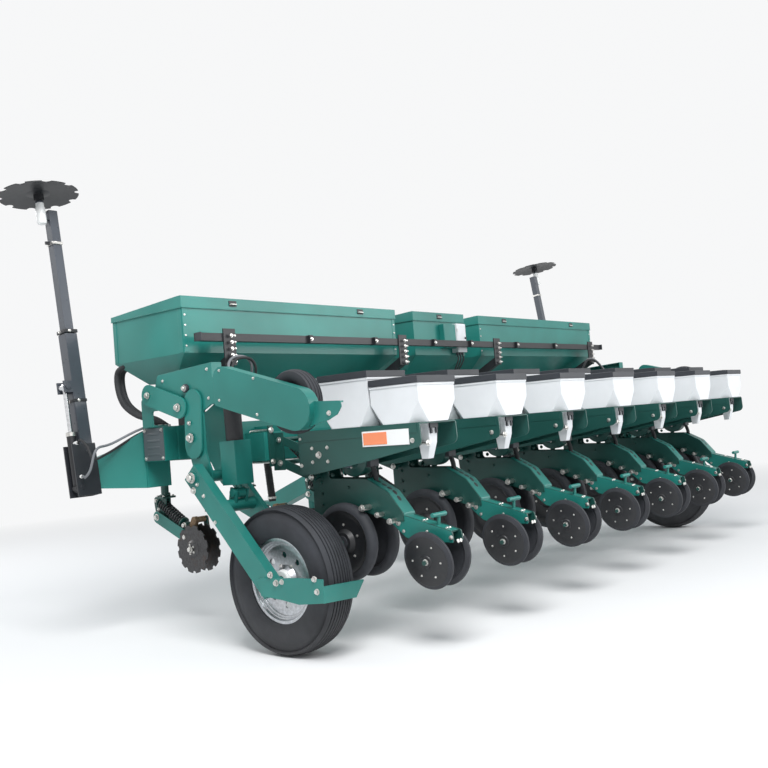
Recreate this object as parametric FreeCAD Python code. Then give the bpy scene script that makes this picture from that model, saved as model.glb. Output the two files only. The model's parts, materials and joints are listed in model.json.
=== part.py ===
import FreeCAD, Part
import math
import os

# Precision planter with seven rows, standing on its transport wheels and drawbar jack.
# X runs across the machine, +Y is the way it travels, Z is up, in millimetres.
# The origin is on the ground, below the middle of the front toolbar.

V = FreeCAD.Vector

# ---- driving dimensions -------------------------------------------------------------
row_count = 7
row_pitch = 700.0
plate_t = 10.0           # laser-cut carrier plates
pin_gap = 0.3            # running clearance at pins and shafts
seat_gap = 0.3           # where a loose piece rests on its seat

# toolbars
bar_z = 1140.0
bar_size = 200.0
bar_end = 400.0          # toolbar beyond the outermost rows
bar_half = (row_count - 1) / 2 * row_pitch + bar_end
bar_wall = 10.0
rear_bar_y = -620.0
rear_bar_z = 1080.0
rear_bar_size = 160.0
rear_bar_half = bar_half - 230
hitch_plate = 14.0       # pads that bolt the drawbar's legs to the toolbar
tie_width = 90.0
tie_pitches = (0.5, 2.5)  # ties between the toolbars, counted in row pitches from the middle

# drawbar and jack
hitch_z = 520.0
eye_r = 60.0
eye_bore_r = 20.0
eye_t = 44.0
tongue_size = 140.0
tongue_wall = 8.0
leg_root_x = row_pitch / 2
leg_root_z = 1100.0
leg_apex_y = 1020.0
leg_size = 100.0
jack_y = 1330.0
jack_tube_r = 38.0
jack_leg_r = 30.0
jack_foot_r = 110.0
jack_sleeve_low = 430.0
jack_sleeve_length = 500.0
jack_leg_length = 860.0

# transport wheels
rim_r = 222.0
tyre_section = 164.0     # from the rim's edge to the tread
tyre_r = rim_r + tyre_section
tyre_width = 186.0
tyre_x = bar_half - 62
disc_slots = 8
disc_slot_r = 17.0
wheel_y = -995.0
hub_r = 55.0
axle_r = 22.0

# wheel arm and its pivot
pivot_y = -480.0
pivot_z = 940.0
pivot_r = 32.0
arm_depth = 118.0
arm_wall = 10.0
arm_out_x = tyre_x + 142
arm_in_x = tyre_x - 122
arm_out_width = 60.0
arm_in_width = 34.0
cross_r = 34.0
cross_reach = 225.0      # from the pivot, along the arm

# lift cylinder
lift_x = tyre_x
lift_top_y = -640.0
lift_top_z = 1430.0
barrel_r = 48.0
rod_r = 20.0
eye_pin_r = 15.0
barrel_share = 0.55      # of the length between the pins
rod_share = 0.62
guard_half = 60.0        # channel that shields the rod
guard_foot = 44.0        # above the rod's eye
guard_top = 240.0
guard_wall = 5.0

# hangers of the wheel arm and the parts on them
cheek_t = 12.0
cheek_in_x = lift_x - 90
cheek_out_x = lift_x + 78
cheek_round = 62.0       # around the pivot
mount_z = 1333.0         # lower edge of the drive's mount
mount_rear_y = -600.0
strap_x = cheek_out_x + cheek_t + 6
strap_r = 72.0
lever_x = strap_x + 16
lever_r = 62.0

# contact drive
contact_x = tyre_x + 62
contact_y = -1200.0
contact_z = 1300.0
contact_r = 165.0
contact_width = 90.0
case_x = tyre_x + 162
case_depth = 70.0
case_front_y = -735.0
case_front_z = 1430.0
case_rear_y = -1325.0
case_rear_z = 1258.0
case_r = 106.0

# markers
marker_x = bar_half + 300
marker_y = 266.0
marker_z = 1123.0
marker_foot_low = bar_z - 255   # bracket's foot on the toolbar
marker_foot_high = bar_z + 85
marker_lean = 7.5
mast_size = 76.0
mast_wall = 6.0
mast_inner = 56.0
mast_length = 1475.0
mast_sleeve_length = 705.0
mast_lug_z = 392.0       # rod pin above the fold pin
marker_fold = 90.0
marker_pin_x = 68.0      # cylinder pins outboard of the fold pin
marker_pin_drop = 200.0
spindle_x = 64.0
disc_rise = 92.0         # disc above the mast's end
marker_disc_r = 232.0
marker_disc_t = 5.0

# fertiliser boxes
box_front_y = 376.0
box_rear_y = -307.0
box_rim_z = 1914.0
box_fold_z = 1650.0
box_floor_z = 1505.0
box_floor_half = 130.0
box_end_x = bar_half - 26
box_inner_x = 545.0
centre_box_half = 325.0
box_end_taper = 90.0
sheet_t = 4.0
rim_fold = 8.0           # rim folded outwards under the lid
lid_rear_rise = 66.0
lid_front_rise = 28.0
lid_knuckle_r = 11.0
lid_knuckle_inset = 130.0
lid_knuckle_half = 50.0

# rail behind the boxes
rail_y = -396.0
rail_z = 1730.0
rail_size = 46.0
rail_half = bar_half - 50
upright_x = (616.0, bar_half - 268)
centre_post_x = 210.0
upright_width = 90.0
post_half = 35.0         # posts that carry the boxes
saddle_depth = 60.0
brace_foot_z = 1400.0

# seed hoppers
hopper_half = 152.0
hopper_seat_z = 1146.0
hopper_corner = 73.0     # the lower corners are cut off
hopper_corner_rise = 104.0
rear_hopper_rear = -1802.0
hopper_split_y = -1483.0
front_hopper_front = -1129.0
rear_lid_z = 1375.0
front_lid_z = 1430.0
hopper_wall = 5.0
lid_depth = 34.0
lid_pin_r = 5.0
chute_y = -1712.0
chute_drop = 185.0

# row unit
row_plate_x = 146.0      # outer face of the hopper carrier
row_plate_t = 8.0
link_front_y = -755.0
link_rear_y = -990.0
link_drop = 85.0
link_top_z = 1110.0
link_gap_z = 130.0
link_x = 96.0
link_t = 12.0
link_depth = 46.0
shank_half = 42.0
quadrant_t = 9.0         # slotted strip that closes the shank's rear edge
slot_r = 8.0
handle_y = -1748.0
handle_z = 680.0

# control box on the rear wall of the middle box
control_x = 210.0
control_half = 60.0
control_depth = 58.0

# gauge wheels
gauge_y = -1190.0
gauge_z = 545.0
gauge_r = 208.0
gauge_width = 66.0
gauge_x = 88.0

# press wheels
press_y = -1720.0
press_z = 461.0
press_r = 147.0
press_width = 34.0
press_x = 76.0
press_tilt = 10.0

# seed meters between the carriers
meter_y = -1235.0
meter_z = 985.0
meter_r = 100.0
meter_half = 56.0
drive_shaft_r = 11.0
seed_tube_r = 17.0

# openers
seed_disc_r = 190.0
seed_disc_y = -1120.0
seed_disc_z = 560.0
fert_disc_y = 160.0
fert_disc_z = 468.0
fert_disc_r = 150.0
fert_disc_x = 48.0       # the two discs of an opener stand each side of its middle
fert_notches = 12
fert_post_y = 470.0
fert_post_r = 25.0
fert_post_low = 785.0
fert_link_y = 520.0      # front pin of the trailing link
fert_link_z = 665.0
fert_pin_y = 238.0       # rear pin of the trailing link
fert_pin_z = 542.0
fert_link_r = 38.0
strut_top_y = 540.0      # spring strut over the link
strut_top_z = 772.0
strut_low_y = 268.0
strut_low_z = 612.0
strut_r = 14.0
strut_collar_r = 37.0
hose_r = 24.0
hose_offset = 74.0       # beside the opener's post
hose_low_z = 690.0
hose_knee_z = 1010.0

row_middle = (row_count - 1) / 2
rows = [(n - row_middle) * row_pitch for n in range(row_count)]
nodes = []


# ---- building blocks ----------------------------------------------------------------
def box(x0, x1, y0, y1, z0, z1):
    return Part.makeBox(x1 - x0, y1 - y0, z1 - z0, V(x0, y0, z0))


def bar(start, end, radius):
    run = V(*end) - V(*start)
    return Part.makeCylinder(radius, run.Length, V(*start), run)


def across(x0, x1, y, z, radius):
    return Part.makeCylinder(radius, x1 - x0, V(x0, y, z), V(1, 0, 0))


def in_yz(a, b):
    return V(0, a, b)


def in_xz(a, b):
    return V(a, 0, b)


# A closed outline; a point's third number rounds that corner.
def outline(points, put):
    corners = []
    count = len(points)
    for i, point in enumerate(points):
        here = V(point[0], point[1], 0)
        radius = point[2] if len(point) > 2 else 0
        if not radius:
            corners.append((here, here, None))
            continue
        before = points[i - 1]
        after = points[(i + 1) % count]
        back = (V(before[0], before[1], 0) - here).normalize()
        on = (V(after[0], after[1], 0) - here).normalize()
        half = back.getAngle(on) / 2
        reach = radius / math.tan(half)
        middle = (back + on).normalize() * (radius / math.sin(half) - radius)
        corners.append((here + back * reach, here + on * reach, here + middle))
    edges = []
    for i, (start, end, middle) in enumerate(corners):
        if middle is not None:
            edges.append(Part.Arc(put(*start[:2]), put(*middle[:2]), put(*end[:2])).toShape())
        ahead = corners[(i + 1) % count][0]
        if (ahead - end).Length > 0.001:
            edges.append(Part.LineSegment(put(*end[:2]), put(*ahead[:2])).toShape())
    return Part.Wire(edges)


def plate(points, x0, x1):
    return Part.Face(outline(points, in_yz)).extrude(V(x1 - x0, 0, 0)).translated(V(x0, 0, 0))


def wall(points, y0, y1):
    return Part.Face(outline(points, in_xz)).extrude(V(0, y1 - y0, 0)).translated(V(0, y0, 0))


# A turned piece about an axis along X: the profile's points are (x, radius).
def turned(profile, x, y, z):
    shape = Part.Face(outline(profile, in_xz)).revolve(V(0, 0, 0), V(1, 0, 0), 360)
    return shape.translated(V(x, y, z))


# A square or oblong tube from one point of a YZ plane to another, closed at its ends.
def beam(start, end, depth, x0, x1, thickness=0.0):
    run = V(0, end[0] - start[0], end[1] - start[1])
    along = V(run).normalize()
    side = V(0, -along.z, along.y) * (depth / 2)
    base = V(x0, start[0], start[1])
    corners = [base - side, base + side, base + run + side, base + run - side]
    shape = Part.Face(Part.makePolygon(corners + corners[:1])).extrude(V(x1 - x0, 0, 0))
    if thickness:
        inner = beam(
            (start[0] + along.y * thickness, start[1] + along.z * thickness),
            (end[0] - along.y * thickness, end[1] - along.z * thickness),
            depth - 2 * thickness, x0 + thickness, x1 - thickness)
        shape = shape.cut(inner)
    return shape


# A flat link with round ends between two points of a YZ plane.
def link(start, end, radius, x0, x1):
    run = V(0, end[0] - start[0], end[1] - start[1])
    body = beam(start, end, 2 * radius, x0, x1)
    return fuse([body, across(x0, x1, start[0], start[1], radius), across(x0, x1, end[0], end[1], radius)])


def fuse(shapes):
    whole = shapes[0]
    if len(shapes) > 1:
        whole = whole.multiFuse(shapes[1:])
    return whole.removeSplitter()


def cut(shape, tools):
    return shape.cut(Part.makeCompound(tools)) if len(tools) > 1 else shape.cut(tools[0])


def moved(shape, x=0.0, y=0.0, z=0.0):
    return shape.translated(V(x, y, z))


def mirrored(shape):
    return shape.mirror(V(0, 0, 0), V(1, 0, 0))


def turned_about(shape, point, axis, degrees):
    turned_shape = shape.copy()
    turned_shape.rotate(V(*point), V(*axis), degrees)
    return turned_shape


def on_rows(shape):
    return [moved(shape, x) for x in rows]


def keep(name, shapes):
    solids = []
    for shape in shapes if isinstance(shapes, list) else [shapes]:
        solids += shape.Solids
    for solid in solids:
        if not solid.isValid() or solid.Volume <= 0:
            print("check the solid of", name)
    whole = solids[0] if len(solids) == 1 else Part.makeCompound(solids)
    whole.exportStep("parts/" + name + ".step")
    nodes.append((name, len(solids), whole))


def keep_pair(name, shapes):
    left = shapes if isinstance(shapes, list) else [shapes]
    keep(name + "_left", left)
    keep(name + "_right", [mirrored(shape) for shape in left])


# ---- main frame ---------------------------------------------------------------------
def square_tube(half, y, z, size, thickness):
    outer = box(-half, half, y - size / 2, y + size / 2, z - size / 2, z + size / 2)
    inside = size / 2 - thickness
    return outer.cut(box(-half + thickness, half - thickness, y - inside, y + inside, z - inside, z + inside))


# Both toolbars, with the ties that stand between them on their seats.
def main_frame():
    pieces = [
        square_tube(bar_half, 0, bar_z, bar_size, bar_wall),
        square_tube(rear_bar_half, rear_bar_y, rear_bar_z, rear_bar_size, bar_wall)]
    low = rear_bar_z - rear_bar_size / 2 + 10
    high = bar_z + bar_size / 2 - 40
    back = rear_bar_y + rear_bar_size / 2 + seat_gap
    front = -bar_size / 2 - seat_gap
    for x in [side * pitches * row_pitch for pitches in tie_pitches for side in (-1, 1)]:
        pieces.append(box(x - tie_width / 2, x + tie_width / 2, back, front, low, high))
    return pieces


def rear_reach():
    return -(press_y - press_r)


def drawbar():
    front = rear_reach()
    eye_y = front - eye_r
    seat = bar_size / 2
    tip_y = eye_y - eye_r - 60
    half = tongue_size / 2
    fall = (leg_root_z - hitch_z) / (tip_y - seat)

    def height(y):
        return leg_root_z - (y - seat) * fall

    tongue = beam((leg_apex_y, height(leg_apex_y)), (tip_y, hitch_z), tongue_size, -half, half, tongue_wall)
    eye = Part.makeCylinder(eye_r, eye_t, V(0, eye_y, hitch_z - eye_t / 2))
    neck = box(-eye_r * 0.8, eye_r * 0.8, tip_y - 20, eye_y, hitch_z - eye_t / 2, hitch_z + eye_t / 2)
    end = V(half - leg_size / 2, leg_apex_y + leg_size, height(leg_apex_y + leg_size))
    start = V(leg_root_x, seat, leg_root_z)
    run = end - start
    side = run.cross(V(0, 0, 1)).normalize()
    turn = FreeCAD.Rotation(run, side, V(0, 0, 1), "XZY")
    reach = run.Length + leg_size
    leg = Part.makeBox(reach, leg_size, leg_size, V(-leg_size, -leg_size / 2, -leg_size / 2))
    inside = leg_size - 2 * tongue_wall
    hollow = Part.makeBox(reach - 2 * leg_size, inside, inside, V(0, -inside / 2, -inside / 2))
    leg = leg.cut(hollow)
    leg.Placement = FreeCAD.Placement(start, turn)
    leg = leg.cut(box(-bar_half, bar_half, -2 * bar_size, seat, 0, 2 * bar_z))
    leg = leg.cut(box(-bar_half, 0, 0, front, 0, 2 * bar_z))
    pieces = [tongue, eye, neck, leg, mirrored(leg), jack_sleeve()]
    for x in (-leg_root_x, leg_root_x):
        pieces.append(box(x - 110, x + 110, seat, seat + hitch_plate, bar_z - 96, bar_z + 80))
    whole = fuse(pieces)
    bore = Part.makeCylinder(eye_bore_r, 3 * eye_t, V(0, eye_y, hitch_z - 1.5 * eye_t))
    return cut(whole, [bore, jack_bore()])


def jack_x():
    return tongue_size / 2 + jack_tube_r + 10


def jack_sleeve():
    x = jack_x()
    tube = Part.makeCylinder(jack_tube_r, jack_sleeve_length, V(x, jack_y, jack_sleeve_low))
    lug = box(tongue_size / 2 - 10, x, jack_y - 25, jack_y + 25, jack_sleeve_low + 130, jack_sleeve_low + 330)
    return fuse([tube, lug])


def jack_bore():
    reach = jack_sleeve_length + 20
    return Part.makeCylinder(jack_leg_r + pin_gap, reach, V(jack_x(), jack_y, jack_sleeve_low))


def jack_leg():
    x = jack_x()
    leg = Part.makeCylinder(jack_leg_r, jack_leg_length, V(x, jack_y, 20))
    foot = Part.makeCone(jack_foot_r, jack_leg_r, 40, V(x, jack_y, 0))
    return fuse([leg, foot])


# ---- fertiliser boxes ---------------------------------------------------------------
def hopper_shell(x0, x1, thickness):
    def section(inset, z, floor):
        taper = box_end_taper if floor else 0
        y0 = -box_floor_half if floor else box_rear_y
        y1 = box_floor_half if floor else box_front_y
        shift = (box_front_y + box_rear_y) / 2 if floor else 0
        corners = [
            V(x0 + taper + inset, y0 + shift + inset, z),
            V(x1 - taper - inset, y0 + shift + inset, z),
            V(x1 - taper - inset, y1 + shift - inset, z),
            V(x0 + taper + inset, y1 + shift - inset, z)]
        return Part.makePolygon(corners + corners[:1])

    def form(inset, top):
        ends = [section(inset, box_floor_z + inset, True), section(inset, box_fold_z, False)]
        funnel = Part.makeLoft(ends, True)
        body = box(x0 + inset, x1 - inset, box_rear_y + inset, box_front_y - inset, box_fold_z, top)
        return fuse([funnel, body])

    fold = box(x0 - rim_fold, x1 + rim_fold, box_rear_y - rim_fold, box_front_y + rim_fold,
               box_rim_z - thickness, box_rim_z)
    return fuse([form(0, box_rim_z), fold]).cut(form(thickness, box_rim_z + 10))


def box_spans():
    return {
        "left": (-box_end_x, -box_inner_x),
        "centre": (-centre_box_half, centre_box_half),
        "right": (box_inner_x, box_end_x)}


def fertiliser_boxes():
    return [hopper_shell(x0, x1, sheet_t) for x0, x1 in box_spans().values()]


# A folded lid over the rim: its top falls from the rear edge to the hinge at the front.
def box_lid(x0, x1):
    over = sheet_t + 2
    low = box_rim_z + seat_gap
    rear = box_rear_y - over
    front = box_front_y + over
    outer = plate([
        (rear, low), (rear, low + lid_rear_rise), (rear + 30, low + lid_rear_rise),
        (front, low + lid_front_rise), (front, low)], x0 - over, x1 + over)
    inner = plate([
        (rear + sheet_t, low - 1), (rear + sheet_t, low + lid_rear_rise - sheet_t),
        (rear + 30, low + lid_rear_rise - sheet_t),
        (front - sheet_t, low + lid_front_rise - sheet_t), (front - sheet_t, low - 1)],
        x0 - over + sheet_t, x1 + over - sheet_t)
    y, z = lid_hinge()
    knuckles = [across(x - lid_knuckle_half, x + lid_knuckle_half, y, z, lid_knuckle_r)
                for x in (x0 + lid_knuckle_inset, x1 - lid_knuckle_inset)]
    return fuse([outer.cut(inner)] + knuckles)


def lid_hinge():
    return (box_front_y + sheet_t + 12, box_rim_z + lid_knuckle_r + 3)


# ---- frame that carries the boxes ---------------------------------------------------
def box_frame():
    top_of_bar = bar_z + bar_size / 2
    middle = (box_front_y + box_rear_y) / 2
    pieces = []
    under = box_floor_z - seat_gap
    low = under - saddle_depth
    for x in [side * x for x in (centre_post_x,) + upright_x for side in (-1, 1)]:
        pieces.append(box(x - post_half, x + post_half, -60, 60, top_of_bar, low))
        pieces.append(box(x - post_half - 10, x + post_half + 10,
                          middle - box_floor_half, middle + box_floor_half, low, under))
        pieces.append(box(x - plate_t / 2, x + plate_t / 2, -bar_size / 2, bar_size / 2, top_of_bar, low))
        if abs(x) == centre_post_x:
            continue
        brace_top = (rail_y - rail_size / 2 - 4, rail_z - 130)
        pieces.append(beam((-40, brace_foot_z), brace_top, 60, x - 20, x + 20))
        pieces.append(box(x - upright_width / 2, x + upright_width / 2,
                          rail_y - rail_size / 2 - 8, rail_y - rail_size / 2, rail_z - 165, rail_z + 50))
    pieces.append(box(-rail_half, rail_half, rail_y - rail_size / 2, rail_y + rail_size / 2,
                      rail_z - rail_size / 2, rail_z + rail_size / 2))
    return fuse(pieces)


# ---- end frames: wheel-arm hangers, drive mount and marker bracket ------------------------
def arm_point(reach):
    run = V(0, wheel_y - pivot_y, tyre_r - pivot_z)
    step = V(run).normalize() * reach
    return (pivot_y + step.y, pivot_z + step.z)


def cheek(points, x):
    return plate(points, x, x + cheek_t)


# The inner cheek hangs on the toolbar's rear face and holds both pins.
def inner_cheek():
    rear_face = -bar_size / 2
    low = bar_z - bar_size / 2
    high = bar_z + bar_size / 2
    return cheek([
        (rear_face, low + 10), (rear_face, high), (rear_face - 230, high + 70, 40),
        (lift_top_y - 60, lift_top_z + 64, 50), (lift_top_y - 70, lift_top_z - 60, 40),
        (pivot_y - cheek_round, high + 20, 50), (pivot_y - cheek_round, pivot_z - cheek_round, 60),
        (pivot_y + cheek_round, pivot_z - cheek_round, 50), (pivot_y + 150, low - 20, 40)], cheek_in_x)


# The outer cheek stands on the toolbar, carries the drive and reaches down to the pivot.
def outer_cheek():
    high = bar_z + bar_size / 2
    strap_y = pivot_y + cheek_round
    return cheek([
        (60, high), (60, mount_z + 70, 20), (-82, mount_z + 130), (-112, mount_z + 204, 25),
        (mount_rear_y, mount_z + 232, 8), (mount_rear_y, lift_top_z + 56),
        (case_front_y - 110, lift_top_z + 30, 30), (case_front_y - 110, lift_top_z - 60, 30),
        (mount_rear_y + 30, mount_z), (pivot_y - 20, mount_z - 30, 15),
        (pivot_y - 20, pivot_z + 130, 30), (pivot_y - cheek_round, pivot_z + 30, 30),
        (pivot_y - cheek_round, pivot_z - cheek_round, 60), (strap_y, pivot_z - cheek_round, 50),
        (strap_y + 60, pivot_z + 140, 20), (strap_y + 60, mount_z, 20),
        (-36, mount_z, 15), (-36, high)], cheek_out_x)


# Lever and strap of the drive's clutch, on pins outside the outer cheek.
def drive_links():
    front = (-55, mount_z + 93)
    rear = (-328, mount_z + 3)
    low = (pivot_y + 62, 1115)
    x0 = cheek_out_x + 2
    pieces = [link(front, rear, lever_r, lever_x, lever_x + 10)]
    pieces.append(link((rear[0] - 108, rear[1] + 22), low, strap_r, strap_x, strap_x + 10))
    pieces.append(across(x0, lever_x + 20, front[0], front[1], 14))
    pieces.append(across(x0, lever_x + 20, rear[0], rear[1], 14))
    pieces.append(across(x0, strap_x + 14, low[0] + 6, low[1] + 45, 12))
    return pieces


def marker_bracket():
    foot_x = (bar_half - 170, bar_half - 10)
    foot_y = bar_size / 2 + cheek_t
    low, high = marker_foot_low, marker_foot_high
    root = [V(foot_x[i], foot_y, z) for i, z in ((0, low), (0, high), (1, high), (1, low))]
    tip_x = marker_x - 50
    tip = [V(tip_x, marker_y + y, marker_z + z) for y, z in ((40, -213), (40, -43), (-40, -43), (-40, -213))]
    arm = Part.makeLoft([Part.makePolygon(points + points[:1]) for points in (root, tip)], True)
    shoe = box(foot_x[0] - 10, foot_x[1], bar_size / 2, foot_y, low, high)
    return [arm, shoe, marker_base()]


def end_frame():
    rear_face = -bar_size / 2
    low = bar_z - bar_size / 2
    high = bar_z + bar_size / 2
    pieces = [inner_cheek(), outer_cheek()] + drive_links() + marker_bracket()
    pieces.append(box(cheek_in_x - 30, cheek_in_x + 60, rear_face - 14, rear_face, low, high))
    pieces.append(box(bar_half - 80, cheek_out_x + cheek_t, -36, 60, high, high + 12))
    flange = cheek_out_x - 60
    pieces.append(plate([
        (-116, mount_z + 199), (mount_rear_y, mount_z + 227),
        (mount_rear_y, mount_z + 232), (-116, mount_z + 204)], flange, cheek_out_x + cheek_t))
    pieces.append(box(flange, cheek_out_x, mount_rear_y, mount_rear_y + 6, mount_z + 150, mount_z + 230))
    pieces.append(across(arm_in_x - arm_in_width / 2 - 8, arm_out_x + arm_out_width / 2 + 12,
                         pivot_y, pivot_z, pivot_r))
    pieces.append(across(cheek_in_x, cheek_out_x + cheek_t, lift_top_y, lift_top_z, eye_pin_r))
    pieces.append(across(cheek_in_x, cheek_out_x + 2, -330, mount_z + 40, 24))
    case_seat = case_x - case_depth / 2 - seat_gap
    pieces.append(across(cheek_out_x, case_seat, case_front_y - 60, case_front_z - 20, 34))
    return mirrored(fuse(pieces))


def lean(shape):
    return turned_about(shape, (marker_x, marker_y, marker_z), (1, 0, 0), -marker_lean)


def marker_base():
    half = mast_size / 2
    pieces = []
    back = marker_x - 50
    for y in (marker_y - half - 9 - 1, marker_y + half + 1):
        pieces.append(box(back, marker_x + 100, y, y + 9, marker_z - 250, marker_z + 50))
    pieces.append(box(back, back + 8, marker_y - half - 9, marker_y + half + 9,
                      marker_z - 250, marker_z - 60))
    front, rear = marker_y - half - 14, marker_y + half + 14
    pieces.append(bar((marker_x, front, marker_z), (marker_x, rear, marker_z), 14))
    pin_x = marker_x + marker_pin_x
    foot_z = marker_z - marker_pin_drop
    pieces.append(bar((pin_x, front, foot_z), (pin_x, rear, foot_z), 12))
    return lean(fuse(pieces))


# ---- wheel arms -----------------------------------------------------------------------
def wheel_arm():
    hub = (wheel_y, tyre_r)
    along = V(0, hub[0] - pivot_y, hub[1] - pivot_z).normalize()
    over = 46
    start = (pivot_y - along.y * over, pivot_z - along.z * over)
    end = (hub[0] + along.y * over, hub[1] + along.z * over)
    pieces = []
    out0 = arm_out_x - arm_out_width / 2
    out1 = arm_out_x + arm_out_width / 2
    in0 = arm_in_x - arm_in_width / 2
    in1 = arm_in_x + arm_in_width / 2
    pieces.append(beam(start, end, arm_depth, out0, out1, arm_wall))
    pieces.append(beam(start, hub, arm_depth * 0.8, in0, in1))
    cy, cz = arm_point(cross_reach)
    pieces.append(across(in1 - 5, out0 + 5, cy, cz, cross_r))
    lug = beam((cy, cz), (cy - 25, cz + 92), 56, lift_x - 44, lift_x - 30)
    pieces += [lug, moved(lug, 74)]
    for x in (lift_x - 52, lift_x + 44):
        pieces.append(across(x, x + 8, lift_low()[0], lift_low()[1], eye_pin_r + 6))
    pieces.append(across(out0 - 16, out1 + 8, hub[0], hub[1], 38))
    pieces.append(across(in0 + 2, arm_out_x, hub[0], hub[1], axle_r))
    pieces += scraper(out1)
    for x0, x1 in ((in0, in1), (out0, out1)):
        pieces.append(across(x0 - 4, x1 + 4, pivot_y, pivot_z, pivot_r + 12))
    arm = fuse(pieces)
    bore = across(in0 - 20, out1 + 20, pivot_y, pivot_z, pivot_r + pin_gap)
    return mirrored(arm.cut(bore))


# Mud scraper: a plate along the arm's foot and a blade with flared ends behind the tyre.
def scraper(x_face):
    rear = wheel_y - tyre_r - 32
    level = tyre_r + 46
    bracket = plate([
        (wheel_y + 45, tyre_r + 30), (wheel_y - 245, level), (rear, level), (rear + 8, level - 114),
        (wheel_y - 245, level - 130), (wheel_y - 125, tyre_r - 68), (wheel_y + 25, tyre_r - 56)],
        x_face, x_face + 8)
    inner = tyre_x - tyre_width / 2 - 20
    blade = wall([
        (x_face + 8, level - 33), (inner - 6, level - 50, 4), (inner + 62, level - 128, 4),
        (x_face + 8, level - 114)], rear, rear + 8)
    return [bracket, blade]


# ---- transport wheels ---------------------------------------------------------------
def tyre():
    half = tyre_width / 2
    bead = rim_r + 0.30 * tyre_section
    widest = rim_r + 0.44 * tyre_section
    shoulder = tyre_r - 0.07 * tyre_section
    wide = 0.36 * tyre_section
    side = [
        (half * 0.30, tyre_r), (half * 0.78, shoulder, wide / 3), (half, widest, wide),
        (half * 0.95, bead, wide / 2), (half * 0.62, rim_r)]
    profile = side + [(-point[0],) + point[1:] for point in reversed(side)]
    return mirrored(turned(profile, tyre_x, wheel_y, tyre_r))


def rim():
    half = tyre_width / 2 * 0.62
    profile = [
        (-half, rim_r - 12), (-half * 0.5, rim_r - 40), (half * 0.5, rim_r - 40), (half, rim_r - 12),
        (half, rim_r - seat_gap), (-half, rim_r - seat_gap)]
    well = turned(profile, tyre_x, wheel_y, tyre_r)
    dish = half * 0.4
    disc = turned([
        (8, axle_r + pin_gap), (8, hub_r + 20), (dish, rim_r - 60), (dish, rim_r - 38),
        (dish + 7, rim_r - 38), (dish + 7, rim_r - 60), (16, hub_r + 20),
        (40, hub_r), (40, axle_r + pin_gap)], tyre_x, wheel_y, tyre_r)
    slots = []
    for i in range(disc_slots):
        slot = across(tyre_x - 10, tyre_x + 60, wheel_y, tyre_r + rim_r - 92, disc_slot_r)
        slots.append(turned_about(slot, (0, wheel_y, tyre_r), (1, 0, 0), 360 / disc_slots * i))
    return mirrored(cut(fuse([well, disc]), slots))


# ---- lift cylinders -----------------------------------------------------------------
def lift_low():
    cy, cz = arm_point(cross_reach)
    return (cy - 18, cz + 68)


def lift_barrel():
    low_y, low_z = lift_low()
    run = V(0, low_y - lift_top_y, low_z - lift_top_z)
    along = V(run).normalize()
    top = V(lift_x, lift_top_y, lift_top_z)
    mouth = top + along * (run.Length * barrel_share)
    barrel = Part.makeCylinder(barrel_r, run.Length * barrel_share - 50, top + along * 50, along)
    eye = across(lift_x - 30, lift_x + 30, lift_top_y, lift_top_z, 34)
    neck = Part.makeCylinder(26, 60, top, along)
    barrel = fuse([barrel, eye, neck])
    bore = Part.makeCylinder(rod_r + pin_gap, run.Length, top + along * 90, along)
    pin = across(lift_x - 60, lift_x + 60, lift_top_y, lift_top_z, eye_pin_r + pin_gap)
    return mirrored(cut(barrel, [bore, pin]))


def lift_rod():
    low_y, low_z = lift_low()
    run = V(0, low_y - lift_top_y, low_z - lift_top_z)
    along = V(run).normalize()
    low = V(lift_x, low_y, low_z)
    rod = Part.makeCylinder(rod_r, run.Length * rod_share, low, along * -1)
    eye = across(lift_x - 26, lift_x + 26, low_y, low_z, 30)
    wide = guard_half * 2
    guard = Part.makeBox(wide, wide, guard_top, V(-guard_half, -guard_half, guard_foot))
    corner = V(guard_wall - guard_half, guard_wall - guard_half, guard_foot + guard_wall)
    inside = Part.makeBox(wide - 2 * guard_wall, wide, guard_top, corner)
    guard = guard.cut(inside)
    guard.Placement = FreeCAD.Placement(low, FreeCAD.Rotation(V(0, 0, 1), along * -1))
    return mirrored(fuse([rod, eye, guard]))


# ---- contact drive --------------------------------------------------------------------
def chain_case():
    x0 = case_x - case_depth / 2
    x1 = x0 + case_depth
    run = V(0, case_rear_y - case_front_y, case_rear_z - case_front_z)
    along = V(run).normalize()
    up = V(0, along.z, -along.y) * case_r
    half = case_r / -along.y
    body = plate([
        (case_front_y, case_front_z + half, 60), (case_rear_y + up.y, case_rear_z + up.z),
        (case_rear_y - up.y, case_rear_z - up.z), (case_front_y, case_front_z - half, 14)], x0, x1)
    end = across(x0, x1, case_rear_y, case_rear_z, case_r)
    shaft = across(contact_x - contact_width / 2 - 24, x0 + 2, contact_y, contact_z, 18)
    edge = case_rear_y - 276
    guard = plate([
        (case_rear_y - 60, case_rear_z + 32), (edge, case_rear_z + 20, 8), (edge - 4, case_rear_z - 8, 8),
        (edge + 26, case_rear_z - 44), (edge + 88, case_rear_z - 68), (case_rear_y - 60, case_rear_z - 90)],
        case_x - 6, case_x)
    shelf = box(case_x - 34, case_x, edge + 10, case_rear_y - 60, case_rear_z + 12, case_rear_z + 20)
    return mirrored(fuse([body, end, shaft, guard, shelf]))


def contact_wheel():
    half = contact_width / 2
    profile = [
        (-half * 0.7, 46), (-half * 0.7, contact_r * 0.55), (-half, contact_r * 0.7),
        (-half, contact_r - 25, 18), (-half * 0.4, contact_r), (half * 0.4, contact_r),
        (half, contact_r - 25, 18), (half, contact_r * 0.7), (half * 0.7, contact_r * 0.55),
        (half * 0.7, 46), (half + 10, 46), (half + 10, 18 + pin_gap),
        (-half - 10, 18 + pin_gap), (-half - 10, 46)]
    return mirrored(turned(profile, contact_x, contact_y, contact_z))


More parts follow.
